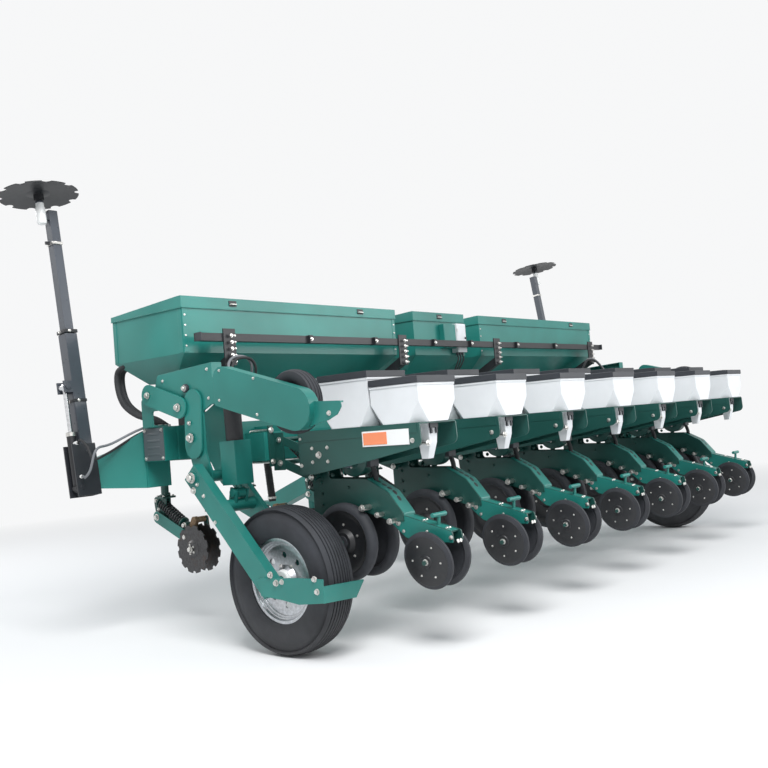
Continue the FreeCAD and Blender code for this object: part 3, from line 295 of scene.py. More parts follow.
# Geometry of one piece, gathered before it becomes a mesh with one material a slot.
class Shape:
    def __init__(self, name, body, slot):
        self.name = name
        self.body = body
        self.slot = slot
        self.mesh = bmesh.new()
        self.materials = []

    def paint(self, material):
        if material not in self.materials:
            self.materials.append(material)
        return self.materials.index(material)

    def add(self, points, faces, material, place=None):
        index = self.paint(material)
        made = [self.mesh.verts.new(place @ Vector(point) if place else Vector(point)) for point in points]
        for face in faces:
            try:
                polygon = self.mesh.faces.new([made[i] for i in face])
            except ValueError:
                continue
            polygon.material_index = index
            polygon.smooth = True

    # A prism between two matching rings of points.
    def prism(self, first, second, material):
        count = len(first)
        sides = [(i, (i + 1) % count, count + (i + 1) % count, count + i) for i in range(count)]
        faces = sides + [tuple(reversed(range(count))), tuple(range(count, 2 * count))]
        self.add(list(first) + list(second), faces, material)

    def block(self, lowCorner, highCorner, material):
        x0, y0, z0 = lowCorner
        x1, y1, z1 = highCorner
        ring = [(x0, y0), (x1, y0), (x1, y1), (x0, y1)]
        self.prism([(x, y, z0) for x, y in ring], [(x, y, z1) for x, y in ring], material)

    # A plate whose outline lies in the YZ plane.
    def sheet(self, outline, x0, x1, material):
        self.prism([(x0, y, z) for y, z in outline], [(x1, y, z) for y, z in outline], material)

    # A turned form: the profile runs along the axis as (distance, radius), and closes on itself.
    def turned(self, profile, centre, axis, material, segments=64, closed=True):
        axis = Vector(axis).normalized()
        aside = axis.orthogonal().normalized()
        other = axis.cross(aside)
        points = []
        for step in range(segments):
            angle = 2 * math.pi * step / segments
            radial = aside * math.cos(angle) + other * math.sin(angle)
            points += [Vector(centre) + axis * along + radial * radius for along, radius in profile]
        count = len(profile)
        faces = []
        for step in range(segments):
            here, there = step * count, ((step + 1) % segments) * count
            for i in range(count if closed else count - 1):
                j = (i + 1) % count
                faces.append((here + i, here + j, there + j, there + i))
        self.add(points, faces, material)

    def rod(self, start, end, radius, material, segments=16):
        start, end = Vector(start), Vector(end)
        length = (end - start).length
        rim = min(radius * 0.15, length * 0.2)
        profile = [(0, 0.0005), (0, radius - rim), (rim, radius), (length - rim, radius),
                   (length, radius - rim), (length, 0.0005)]
        self.turned(profile, start, end - start, material, segments, False)

    # A round hose or wire along a list of points.
    def hose(self, points, radius, material, segments=10):
        points = [Vector(point) for point in points]
        rings = []
        ahead = (points[1] - points[0]).normalized()
        aside = ahead.orthogonal().normalized()
        for i, point in enumerate(points):
            before = points[max(i - 1, 0)]
            after = points[min(i + 1, len(points) - 1)]
            run = (after - before).normalized()
            aside = (aside - run * aside.dot(run)).normalized()
            other = run.cross(aside)
            for step in range(segments):
                angle = 2 * math.pi * step / segments
                rings.append(point + aside * radius * math.cos(angle) + other * radius * math.sin(angle))
        faces = []
        for i in range(len(points) - 1):
            for step in range(segments):
                j = (step + 1) % segments
                here, there = i * segments, (i + 1) * segments
                faces.append((here + step, here + j, there + j, there + step))
        last = (len(points) - 1) * segments
        faces.append(tuple(reversed(range(segments))))
        faces.append(tuple(range(last, last + segments)))
        self.add(rings, faces, material)

    # Turns what was gathered into a piece. With bend, its place is baked into its mesh and it joins no body.
    def finish(self, bevel=0.0, sharp=35.0, bend=None):
        bmesh.ops.remove_doubles(self.mesh, verts=self.mesh.verts, dist=0.00001)
        bmesh.ops.recalc_face_normals(self.mesh, faces=self.mesh.faces)
        limit = math.radians(sharp)
        for edge in self.mesh.edges:
            edge.smooth = edge.is_manifold and edge.calc_face_angle(0) < limit
        data = bpy.data.meshes.new(self.name)
        self.mesh.to_mesh(data)
        self.mesh.free()
        for material in self.materials:
            data.materials.append(material)
        piece = bpy.data.objects.new(self.name, data)
        bpy.context.collection.objects.link(piece)
        if bevel:
            softened = piece.modifiers.new("softEdge", "BEVEL")
            softened.width = bevel
            softened.segments = 2
            softened.limit_method = "ANGLE"
            softened.angle_limit = limit
            softened.harden_normals = False
            piece = freeze(piece)
        if bend:
            tuple(bend[1])
            tuple(bend[2])
            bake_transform(piece)
        else:
            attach(piece, self.body)
        return piece


# The evaluated shape of an object as a plain mesh, with its modifiers gone.
def freeze(piece):
    graph = bpy.context.evaluated_depsgraph_get()
    data = bpy.data.meshes.new_from_object(piece.evaluated_get(graph))
    name = piece.name
    old = piece.data
    plain = bpy.data.objects.new(name + "Plain", data)
    bpy.context.collection.objects.link(plain)
    bpy.data.objects.remove(piece)
    if isinstance(old, bpy.types.Mesh):
        bpy.data.meshes.remove(old)
    plain.name = name
    data.name = name
    return plain


# A geometry tree under construction, with named inputs.
class Growth:
    def __init__(self, name, inputs):
        self.tree = bpy.data.node_groups.new(name, "GeometryNodeTree")
        face = self.tree.interface
        face.new_socket("Geometry", in_out="INPUT", socket_type="NodeSocketGeometry")
        for label, kind in inputs.items():
            face.new_socket(label, in_out="INPUT", socket_type=kind)
        face.new_socket("Geometry", in_out="OUTPUT", socket_type="NodeSocketGeometry")
        self.start = self.tree.nodes.new("NodeGroupInput")
        self.end = self.tree.nodes.new("NodeGroupOutput")

    def given(self, label):
        return self.start.outputs[label]

    def node(self, kind, settings, sockets, output=0):
        node = self.tree.nodes.new(kind)
        for key, value in settings.items():
            setattr(node, key, value)
        for key, value in sockets.items():
            slot = node.inputs[key]
            for one in value if isinstance(value, list) else [value]:
                if isinstance(one, bpy.types.NodeSocket):
                    self.tree.links.new(one, slot)
                else:
                    slot.default_value = one
        return node.outputs[output]

    def close(self, shape, material):
        real = self.node("GeometryNodeRealizeInstances", {}, {"Geometry": shape})
        painted = self.node("GeometryNodeSetMaterial", {}, {"Geometry": real, "Material": material})
        self.tree.links.new(painted, self.end.inputs[0])
        return self.tree


# Small pieces on points: each point has an aim, the way the piece looks, and a size.
def scatter(name, body, tree, spots, values):
    data = bpy.data.meshes.new(name)
    data.from_pydata([spot[0] for spot in spots], [], [])
    data.attributes.new("aim", "FLOAT_VECTOR", "POINT")
    data.attributes.new("scale", "FLOAT", "POINT")
    for i, spot in enumerate(spots):
        data.attributes["aim"].data[i].vector = spot[1]
        data.attributes["scale"].data[i].value = spot[2]
    piece = bpy.data.objects.new(name, data)
    bpy.context.collection.objects.link(piece)
    grown = piece.modifiers.new("grown", "NODES")
    grown.node_group = tree
    for item in tree.interface.items_tree:
        if item.in_out == "INPUT" and item.name in values:
            grown[item.identifier] = values[item.name]
    piece = freeze(piece)
    while None in list(piece.data.materials):
        piece.data.materials.pop(index=list(piece.data.materials).index(None))
    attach(piece, body)
    return piece


def onPoints(growth, shape):
    aim, scale = (growth.node("GeometryNodeInputNamedAttribute", {"data_type": kind}, {"Name": name})
                  for name, kind in (("aim", "FLOAT_VECTOR"), ("scale", "FLOAT")))
    turn = growth.node("FunctionNodeAlignRotationToVector", {"axis": "Z"}, {"Vector": aim})
    sockets = {"Points": growth.given("Geometry"), "Instance": shape, "Rotation": turn, "Scale": scale}
    return growth.node("GeometryNodeInstanceOnPoints", {}, sockets)


# A hexagon head on a washer, with the bolt's end showing. All sizes are shares of the head's radius.
boltShares = {"washer": 1.30, "washerTall": 0.22, "head": 1.0, "headTall": 0.75, "headRise": 0.46,
              "end": 0.80, "endRise": 0.90}


def boltTree():
    growth = Growth("boltHeads", {"Radius": "NodeSocketFloat", "Material": "NodeSocketMaterial"})
    shares = {}
    for key, share in boltShares.items():
        sockets = {0: growth.given("Radius"), 1: share}
        shares[key] = growth.node("ShaderNodeMath", {"operation": "MULTIPLY"}, sockets)

    def disc(corners, radius, tall, rise=None):
        sockets = {"Vertices": corners, "Radius": shares[radius], "Depth": shares[tall]}
        made = growth.node("GeometryNodeMeshCylinder", {}, sockets)
        if rise:
            lift = growth.node("ShaderNodeCombineXYZ", {}, {"Z": shares[rise]})
            made = growth.node("GeometryNodeTransform", {}, {"Geometry": made, "Translation": lift})
        return made

    pieces = [disc(14, "washer", "washerTall"), disc(6, "head", "headTall", "headRise"),
              disc(8, "end", "washerTall", "endRise")]
    whole = growth.node("GeometryNodeJoinGeometry", {}, {"Geometry": pieces})
    return growth.close(onPoints(growth, whole), growth.given("Material"))


# A coil spring standing on its point.
def springTree():
    inputs = {"Radius": "NodeSocketFloat", "Wire": "NodeSocketFloat", "Length": "NodeSocketFloat",
              "Turns": "NodeSocketFloat", "Material": "NodeSocketMaterial"}
    growth = Growth("coilSprings", inputs)
    given = growth.given
    sockets = {"Resolution": 14, "Rotations": given("Turns"), "Start Radius": given("Radius"),
               "End Radius": given("Radius"), "Height": given("Length")}
    coil = growth.node("GeometryNodeCurveSpiral", {}, sockets)
    ring = growth.node("GeometryNodeCurvePrimitiveCircle", {}, {"Resolution": 6, "Radius": given("Wire")})
    sockets = {"Curve": coil, "Profile Curve": ring, "Fill Caps": True}
    wire = growth.node("GeometryNodeCurveToMesh", {}, sockets)
    return growth.close(onPoints(growth, wire), given("Material"))


bolts = boltTree()
springs = springTree()


def boltField(name, body, spots, radius=0.012, material=zinc):
    return scatter(name, body, bolts, spots, {"Radius": radius, "Material": material})


# Ribbed farm tyre: ribs, grooves and a stepped sidewall, from one half of its section.
tyre = {
    "ribs": (0.78, 0.52, 0.26, 0.0),        # groove centres, as shares of the half tread
    "grooveWidth": 0.0075,
    "grooveFloor": 0.7,                     # the floor's width, as a share of the groove's
    "grooveDepth": 0.011,
    "tread": 0.80,                          # the tread's share of the width
    "crown": 0.016,
    "bead": 0.60,                           # width at the rim, as a share
    "bulge": (0.10, 0.86, 0.7),             # start and length of the sidewall's sine, and its power
    "wall": 0.90,                           # the sidewall's share of the height from the rim
    "wallSteps": 14,
    "rings": (0.36, 0.47, 0.60, 0.80),      # raised lines on the sidewall, as shares of its height
    "ringHalf": 0.03,
    "ringDepth": 0.0025,
    # The shoulder's points: share of the width and of the height below the top, share of the width and drop,
    # distance past the tread's edge and drop.
    "shoulder": ((0.97, 0.10), (0.90, 0.0144), (0.004, 0.00992)),
}


# Half a section, given from the inside out, joined with its mirror image.
def mirrored(profile):
    return profile + [(-x, radius) for x, radius in reversed(profile)]


def tyreSection(half, radius, rimRadius):
    height = radius - rimRadius
    start, length, power = tyre["bulge"]
    side = []
    for step in range(tyre["wallSteps"]):
        t = step / tyre["wallSteps"]
        bulge = math.sin(math.pi * min(1.0, t * length + start)) ** power
        x = half * (tyre["bead"] + (1 - tyre["bead"]) * bulge)
        rise = tyre["wall"] * t
        lift = sum(tyre["ringDepth"] for ring in tyre["rings"] if abs(rise - ring) < tyre["ringHalf"])
        side.append((min(x + lift, half), rimRadius + height * rise))
    edge = half * tyre["tread"]
    (wide1, drop1), (wide2, drop2), (past, drop3) = tyre["shoulder"]
    side += [(half * wide1, radius - height * drop1), (half * wide2, radius - drop2)]
    side.append((edge + past, radius - drop3))
    wide = tyre["grooveWidth"] / 2
    floor = wide * tyre["grooveFloor"]
    for share in tyre["ribs"]:
        centre = edge * share
        top = radius - tyre["crown"] * (centre / half) ** 2
        deep = top - tyre["grooveDepth"]
        side += [(centre + wide, top), (centre + floor, deep)]
        if share:
            side += [(centre - floor, deep), (centre - wide, top)]
    return mirrored(side)


def makeTyres():
    for side in sides:
        node = "tyre_" + side
        lowCorner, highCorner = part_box(node)
        half = (highCorner.x - lowCorner.x) / 2
        radius = (highCorner.y - lowCorner.y) / 2
        rimRadius = (high("rim_" + side).y - low("rim_" + side).y) / 2
        shape = Shape("ribbedTyre." + side, "wheel_" + side, "tyre_rubber")
        section = tyreSection(half, radius, rimRadius)
        shape.turned(section, middle(node), (1, 0, 0), finishes["tyre_rubber"], 120)
        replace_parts(shape.finish(), node)


makeTyres()
print("tyres made")


# Places taken from the frame, used by the small pieces below.
gaugeAxle = pivot("gauge_wheels_1_spin")
fertAxle = pivot("fertiliser_discs_spin")
seat = high("seed_hoppers").z - 0.25                # top edge of the carriers, under the hoppers
plateX = high("row_frames").x - rowX[-1]            # outer face of a carrier, from its row's middle
endX = high("main_frame").x
barTop = high("main_frame").z
cheekX = high("lift_cylinder_right").x + 0.042      # outer face of the end frames
armX = high("wheel_arm_right").x - 0.008            # outer face of the wheel arms' beams
proud = 0.001                                       # how far a bolt's washer stands off its plate


# The same bolts on both faces of every row, or on both ends of the machine.
def onRows(spots, reach):
    return [((row + s * reach, y, z), (s, 0, 0), scale)
            for row in rowX for s in (-1, 1) for y, z, scale in spots]


def onEnds(spots, reach):
    return [((s * reach, y, z), (s, 0, 0), scale) for s in (-1, 1) for y, z, scale in spots]


# Places evenly round a circle, given two directions across its axis.
def circle(count, centre, radius, aside=Vector((0, 1, 0)), other=Vector((0, 0, 1)), start=0.0):
    centre = Vector(centre)
    for i in range(count):
        angle = start + 2 * math.pi * i / count
        yield centre + (aside * math.cos(angle) + other * math.sin(angle)) * radius


# The outline of a rounded bar in the YZ plane.
def capsule(start, end, radius, steps=9):
    heading = math.atan2(end[1] - start[1], end[0] - start[0])
    outline = []
    for centre, turn in ((start, 0.5), (end, -0.5)):
        for step in range(steps):
            angle = heading + math.pi * (turn + step / (steps - 1))
            outline.append((centre[0] + radius * math.cos(angle), centre[1] + radius * math.sin(angle)))
    return outline


# A curve through a few points.
def smooth(points, steps=6):
    points = [Vector(point) for point in points]
    ends = [points[0] * 2 - points[1]] + points + [points[-1] * 2 - points[-2]]
    path = []
    for i in range(1, len(ends) - 2):
        a, b, c, d = ends[i - 1:i + 3]
        for step in range(steps):
            t = step / steps
            square = (2 * a - 5 * b + 4 * c - d) * t ** 2
            cube = (3 * b - a - 3 * c + d) * t ** 3
            path.append(0.5 * (2 * b + (c - a) * t + square + cube))
    return path + [points[-1]]


# A bent line in the YZ plane whose inner corners are arcs of the given radii.
def rounded(corners, steps=6):
    path = [Vector(corners[0][:2])]
    for before, corner, after in zip(corners, corners[1:], corners[2:]):
        a, b, c = Vector(before[:2]), Vector(corner[:2]), Vector(after[:2])
        back, ahead = (a - b).normalized(), (c - b).normalized()
        half = back.angle(ahead) / 2
        centre = b + (back + ahead).normalized() * (corner[2] / math.sin(half))
        start = b + back * (corner[2] / math.tan(half)) - centre
        end = b + ahead * (corner[2] / math.tan(half)) - centre
        for step in range(steps + 1):
            spoke = start.lerp(end, step / steps).normalized() * corner[2]
            path.append(centre + spoke)
    path.append(Vector(corners[-1][:2]))
    return path


# The line moved to its left by a distance.
def beside(path, distance):
    moved = []
    for i, point in enumerate(path):
        run = (path[min(i + 1, len(path) - 1)] - path[max(i - 1, 0)]).normalized()
        moved.append((point.x - run.y * distance, point.y + run.x * distance))
    return moved


# The place at a distance along a bent line, and the line's direction there.
def placeAt(path, distance):
    for a, b in zip(path, path[1:]):
        run = b - a
        if distance < run.length:
            return a + run.normalized() * distance, run.normalized()
        distance -= run.length


# Places a fixed step apart along a bent line, each with the line's direction there.
def along(points, step):
    points = [Vector(point) for point in points]
    reach = step / 2
    for a, b in zip(points, points[1:]):
        run = b - a
        while reach < run.length:
            yield a + run.normalized() * reach, run.normalized()
            reach += step
        reach -= run.length


rearward = (0, -1, 0)
black = finishes["black_paint"]
greenPaint = finishes["green_paint"]
# The teal-green darkened as painted shade.
shadedGreen = finishes["dark_green_paint"]
rubberSkin = finishes["tyre_rubber"]
whiteSkin = finishes["white_plastic"]
darkSkin = finishes["dark_plastic"]
cast = metal("castIron", (0.30, 0.215, 0.14), 0.6, (1, 1, 1), 0.35)
gunmetal = enamel("gunmetal", (0.105, 0.125, 0.155), 0.30, 0.4, 0.2)
orangeGlass = plastic("orangeReflector", (0.90, 0.28, 0.13), 0.18, 900.0, 0.05)
paleGlass = plastic("whiteReflector", (0.86, 0.87, 0.86), 0.20, 900.0, 0.05)
hoseSkin = rubber("hydraulicHose", (0.020, 0.021, 0.023), 0.1)
capSkin = plastic("capPlate", (0.095, 0.115, 0.125), 0.42)
clearHose = plastic("greyHose", (0.20, 0.21, 0.225), 0.30)

# Turned profiles here and below are lists of (place along the axle, radius).
wheelTrim = {
    "lip": ((-0.004, -0.022), (0.006, -0.016), (0.009, -0.004), (0.006, 0.006), (0.0, 0.006), (0.001, -0.008),
            (-0.006, -0.014)),                                      # radius measured from the rim's edge
    "ridge": ((-0.010, -0.003), (-0.001, -0.005), (0.002, 0.001), (0.001, 0.007), (-0.010, 0.008)),
    "steps": ((0.84, 0.021), (0.66, 0.032), (0.50, 0.041)),         # each ridge's share along the axle, depth
    "cap": ((0.030, 0.058), (0.052, 0.054), (0.058, 0.047), (0.059, 0.026), (0.030, 0.026)),
    "nuts": 6,
    "nutRing": 0.078,
    "nutFace": 0.017,
    "nutRadius": 0.0085,
}


def makeWheelTrim():
    paint = finishes["rim_paint"]
    halfRim = (high("rim_right").x - low("rim_right").x) / 2
    for side, s in sides.items():
        body = "wheel_" + side
        axle = pivot(body + "_spin")
        radius = (high("rim_" + side).y - low("rim_" + side).y) / 2
        shape = Shape("rimTrim." + side, body, "rim_paint")
        lip = [(reach, radius + rise) for reach, rise in wheelTrim["lip"]]
        for way in (-1, 1):
            shape.turned(lip, axle + Vector((way * halfRim, 0, 0)), (way, 0, 0), paint, 96)
        for share, drop in wheelTrim["steps"]:
            ridge = [(reach, radius - drop + rise) for reach, rise in wheelTrim["ridge"]]
            shape.turned(ridge, axle + Vector((s * halfRim * share, 0, 0)), (s, 0, 0), paint, 96)
        shape.turned(wheelTrim["cap"], axle, (s, 0, 0), paleGlass, 40)
        shape.finish()
        centre = axle + Vector((s * wheelTrim["nutFace"], 0, 0))
        nuts = [(spot, (s, 0, 0), 1.0) for spot in circle(wheelTrim["nuts"], centre, wheelTrim["nutRing"])]
        boltField("wheelNuts." + side, body, nuts, wheelTrim["nutRadius"])


gaugeTrim = {
    "inset": 0.0337,
    "dish": ((0.0, 0.030), (0.0285, 0.036), (0.0265, 0.052), (0.006, 0.070), (0.004, 0.125), (0.012, 0.150),
             (0.030, 0.166), (0.031, 0.171), (0.026, 0.171), (0.008, 0.156), (0.0, 0.150)),
    "bolts": 5,
    "boltRing": 0.092,
    "boltFace": 0.0055,
    "turn": 0.2,            # how far round each row's wheel stands from the one before, in bolts
    "nutFace": 0.040,
    "nutSize": 1.9,
}


def makeGaugeTrim():
    reach = (high("gauge_wheels_1").x - low("gauge_wheels_1").x) / 2 - gaugeTrim["inset"]
    count = gaugeTrim["bolts"]
    for n, row in enumerate(rowX, 1):
        body = "gauge_wheels_%d" % n
        shape = Shape("gaugeDishes.%d" % n, body, "black_paint")
        spots = []
        for s in (-1, 1):
            face = Vector((row + s * reach, gaugeAxle.y, gaugeAxle.z))
            shape.turned(gaugeTrim["dish"], face, (s, 0, 0), black, 72)
            start = 2 * math.pi * gaugeTrim["turn"] * n / count
            centre = face + Vector((s * gaugeTrim["boltFace"], 0, 0))
            ring = circle(count, centre, gaugeTrim["boltRing"], start=start)
            spots += [(spot, (s, 0, 0), 1.0) for spot in ring]
            spots.append((face + Vector((s * gaugeTrim["nutFace"], 0, 0)), (s, 0, 0), gaugeTrim["nutSize"]))
        shape.finish()
        boltField("gaugeBolts.%d" % n, body, spots, 0.006)


pressTrim = {
    "half": 0.017,
    "plate": ((-0.002, 0.014), (-0.002, 0.126), (0.0005, 0.1275), (0.0022, 0.125), (0.0022, 0.034),
              (0.0080, 0.030), (0.0080, 0.014)),                    # place measured from the wheel's side
    "rivets": 6,
    "rivetRing": 0.086,
    "rivetFace": 0.0024,
    "rivetSize": 0.72,
    "turn": (0.35, 0.4),    # where the first row's rivets start, and what each row adds, in radians
    "nutFace": 0.0085,
    "nutSize": 2.1,
}


def makePressTrim():
    half = pressTrim["half"]
    plate = [(half + reach, radius) for reach, radius in pressTrim["plate"]]
    for n in range(1, len(rowX) + 1):
        for side, s in sides.items():
            body = "press_wheel_%s_%d" % (side, n)
            axle = pivot(body + "_spin")
            axis = Vector(joints[body + "_spin"]["axis"]) * s
            shape = Shape("pressPlate.%s.%d" % (side, n), body, "black_paint")
            shape.turned(plate, axle, axis, black, 64)
            shape.finish()
            aside = axis.orthogonal().normalized()
            start = pressTrim["turn"][0] + n * pressTrim["turn"][1]
            other = axis.cross(aside)
            centre = axle + axis * (half + pressTrim["rivetFace"])
            ring = circle(pressTrim["rivets"], centre, pressTrim["rivetRing"], aside, other, start)
            spots = [(axle + axis * (half + pressTrim["nutFace"]), axis, pressTrim["nutSize"])]
            spots += [(spot, axis, pressTrim["rivetSize"]) for spot in ring]
            boltField("pressRivets.%s.%d" % (side, n), body, spots, 0.006)


contactTrim = {
    "inset": 0.010,
    "crown": 0.010,
    "grooves": (0.66, 0.22, -0.22, -0.66),                          # shares of the half width
    "groove": ((0.003, 0.0), (0.002, -0.007), (-0.002, -0.007), (-0.003, 0.0)),
    # The wall's and the web's points are shares of the half width and of the radius.
    "wall": ((0.62, 0.56), (0.80, 0.62), (1.0, 0.74), (1.0, 0.86), (0.95, 0.94)),
    "shoulder": (0.82, 0.007),
    "web": ((0.62, 0.57), (0.35, 0.50)),
    "neck": (0.30, 0.050),
    "hub": ((0.010, 0.044), (0.010, 0.020)),                        # past the tyre's side, and radius
}


def makeContactWheels():
    for side in sides:
        node = "contact_wheel_" + side
        lowCorner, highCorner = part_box(node)
        radius = (highCorner.y - lowCorner.y) / 2
        half = (highCorner.x - lowCorner.x) / 2 - contactTrim["inset"]
        shape = Shape("contactTyre." + side, node, "tyre_rubber")
        right = [(half * wide, radius * tall) for wide, tall in contactTrim["wall"]]
        right.append((half * contactTrim["shoulder"][0], radius - contactTrim["shoulder"][1]))
        tread = []
        for share in contactTrim["grooves"]:
            top = radius - contactTrim["crown"] * share ** 2
            tread += [(half * share + across, top + rise) for across, rise in contactTrim["groove"]]
        section = right + tread + [(-x, tall) for x, tall in reversed(right)]
        shape.turned(section, middle(node), (1, 0, 0), rubberSkin, 72)
        core = [(half * wide, radius * tall) for wide, tall in contactTrim["web"]]
        core.append((half * contactTrim["neck"][0], contactTrim["neck"][1]))
        core += [(half + past, tall) for past, tall in contactTrim["hub"]]
        shape.turned(mirrored(core), middle(node), (1, 0, 0), black, 48)
        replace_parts(shape.finish(), node)


makeWheelTrim()
makeGaugeTrim()
makePressTrim()
makeContactWheels()
print("wheel trim made")

# Outlines and bolts here and below are lists of (y, z), with a bolt's size after them.
carrierTrim = {
    "band": (-0.955, -1.775, 0.060, 0.048),     # front, rear, and its depth at either end
    "thick": 0.0022,
    "bolts": ((-1.052, 1.052, 0.7), (-1.164, 1.052, 0.7), (-1.100, 1.015, 1.3), (-1.051, 0.978, 0.7),
              (-1.163, 0.978, 0.7), (-0.965, 0.961, 0.8), (-1.741, 1.060, 0.9), (-0.972, 1.105, 0.8)),
}


# Strips along the carriers' top edges under the hoppers, in the teal-green darkened as painted shade.
def makeCarriers():
    shape = Shape("carrierBands", "frame", "dark_green_paint")
    front, rear, frontDepth, rearDepth = carrierTrim["band"]
    top = seat - 0.001
    band = [(front, top), (rear, top), (rear, top - rearDepth), (front, top - frontDepth)]
    for row in rowX:
        for s in (-1, 1):
            faces = sorted((row + s * plateX, row + s * (plateX + carrierTrim["thick"])))
            shape.sheet(band, *faces, shadedGreen)
    shape.finish()
    boltField("carrierBolts", "frame", onRows(carrierTrim["bolts"], plateX + proud), 0.011)


shankTrim = {
    "face": 0.050,
    "bolts": ((-1.092, 0.898, 0.9), (-1.292, 0.735, 1.1), (-1.000, 0.86, 0.9), (-1.000, 0.80, 0.9),
              (-1.000, 0.74, 0.9), (-1.20, 0.83, 0.7)),
    "spacers": ((-1.337, 0.725, 0.016, 0.060), (-1.424, 0.688, 0.013, 0.046), (-1.500, 0.655, 0.014, 0.040)),
    "sink": 0.006,          # how far a spacer reaches into the shank
    "spacerBolt": 0.011,    # the spacer radius that takes a bolt of size 1
}


def makeShanks():
    shape = Shape("shankSpacers", "frame", "bright_steel")
    face = shankTrim["face"]
    spots = []
    for row in rowX:
        for s in (-1, 1):
            for y, z, radius, reach in shankTrim["spacers"]:
                end = (row + s * (face + reach), y, z)
                shape.rod((row + s * (face - shankTrim["sink"]), y, z), end, radius, zinc, 14)
                spots.append((end, (s, 0, 0), radius / shankTrim["spacerBolt"]))
    shape.finish()
    painted = onRows(shankTrim["bolts"], face + proud)
    # The shank bolts take the teal-green darkened as painted shade.
    boltField("shankBolts", "frame", painted, 0.010, shadedGreen)
    boltField("spacerBolts", "frame", spots, 0.010)


pressArmTrim = {
    "face": 0.0435,
    "bolts": ((-1.845, 0.572, 1.0), (-1.700, 0.600, 0.7), (-1.520, 0.640, 1.2), (-1.550, 0.600, 0.8)),
    "deckX": 0.012,
    "deckBolts": ((-1.80, 0.6125), (-1.66, 0.6505)),
    "deckAim": (0, 0.25, 0.97),
    "deckSize": 0.8,
    "stub": ((-1.858, 0.552), (-1.8645, 0.553)),
    "stubRadius": 0.010,
}


def makePressArms():
    shape = Shape("pressArmTrim", "frame", "white_plastic")
    spots = onRows(pressArmTrim["bolts"], pressArmTrim["face"] + proud)
    for row in rowX:
        for s in (-1, 1):
            x = row + s * pressArmTrim["deckX"]
            start, end = ((x, y, z) for y, z in pressArmTrim["stub"])
            shape.rod(start, end, pressArmTrim["stubRadius"], zinc, 12)
            for y, z in pressArmTrim["deckBolts"]:
                spots.append(((x, y, z), pressArmTrim["deckAim"], pressArmTrim["deckSize"]))
    shape.finish()
    boltField("pressArmBolts", "frame", spots, 0.009)


quadrantTrim = {
    "edge": ((-1.330, 0.872), (-1.400, 0.8365, 0.05), (-1.470, 0.800, 0.080), (-1.560, 0.690, 0.012),
             (-1.560, 0.655)),          # the inner corners' third number is their radius
    "skin": (-0.0022, 0.0010),          # the strip's outer and inner face, from the shank's edge
    "half": 0.044,
    "slots": (0.045, 0.085, 0.125, 0.165, 0.205),
    "slotHalf": (0.017, 0.0125),        # along the strip and across it
    "slotDepth": 0.0030,
    "armSide": ((-1.472, 0.702), (-1.848, 0.601), (-1.855, 0.548), (-1.642, 0.549), (-1.562, 0.569),
                (-1.476, 0.640)),
    "armFaces": (0.0418, 0.0436),
    "deck": ((-1.504, 0.6925), (-1.836, 0.6035), (-1.836, 0.6015), (-1.504, 0.6905)),
    "deckHalf": 0.036,
    "handle": (-1.748, 0.680),
    "handleHalf": 0.0565,
    "handleRadius": 0.0122,
    "stemFoot": (-1.7415, 0.607),
    "stemRadius": 0.0090,
}


# The slotted strip over the shank's rear edge, and skins of the press arm with its handle in the plain
# teal-green, brighter than the green darkened as painted shade.
def makeQuadrants():
    shape = Shape("quadrantStrips", "frame", "green_paint")
    path = rounded(quadrantTrim["edge"])
    outer, inner = (beside(path, distance) for distance in quadrantTrim["skin"])
    strip = outer + list(reversed(inner))
    half = quadrantTrim["half"]
    slots = [placeAt(path, distance) for distance in quadrantTrim["slots"]]
    slotLong, slotWide = quadrantTrim["slotHalf"]
    deckHalf = quadrantTrim["deckHalf"]
    handle, stemFoot = quadrantTrim["handle"], quadrantTrim["stemFoot"]
    for row in rowX:
        shape.sheet(strip, row - half, row + half, greenPaint)
        for spot, heading in slots:
            out = Vector((heading.y, -heading.x)) * quadrantTrim["slotDepth"]
            base = spot - out * 0.2
            ring = []
            for step in range(16):
                angle = 2 * math.pi * step / 16
                place = base + heading * slotLong * math.cos(angle)
                ring.append((row + slotWide * math.sin(angle), place.x, place.y))
            shape.prism(ring, [(x, y + out.x, z + out.y) for x, y, z in ring], black)
        for s in (-1, 1):
            faces = sorted(row + s * reach for reach in quadrantTrim["armFaces"])
            shape.sheet(quadrantTrim["armSide"], *faces, greenPaint)
        shape.sheet(quadrantTrim["deck"], row - deckHalf, row + deckHalf, greenPaint)
        left, right = ((row + s * quadrantTrim["handleHalf"],) + handle for s in (-1, 1))
        shape.rod(left, right, quadrantTrim["handleRadius"], greenPaint, 20)
        shape.rod((row,) + stemFoot, (row,) + handle, quadrantTrim["stemRadius"], greenPaint, 16)
    shape.finish(0.0006)


linkTrim = {
    "pins": ((-0.755, 1.110), (-0.990, 1.025)),     # the upper link's two ends
    "drop": 0.130,                                  # from the upper link to the lower one
    "face": 0.112,
    "pinSize": 1.3,
    "springX": 0.055,
    "springTop": (-0.785, 1.085),
    "springRun": (0, -0.175, -0.150),
    "springRadius": 0.020,
    "springWire": 0.0042,
    "springTurns": 15.0,
}


def makeLinks():
    pins = [(y, z - drop, linkTrim["pinSize"]) for y, z in linkTrim["pins"] for drop in (0, linkTrim["drop"])]
    boltField("linkPins", "frame", onRows(pins, linkTrim["face"]), 0.010)
    run = Vector(linkTrim["springRun"])
    coils = [((row + s * linkTrim["springX"],) + linkTrim["springTop"], run, 1.0)
             for row in rowX for s in (-1, 1)]
    values = {"Radius": linkTrim["springRadius"], "Wire": linkTrim["springWire"], "Length": run.length,
              "Turns": linkTrim["springTurns"], "Material": black}
    scatter("downSprings", "frame", springs, coils, values)


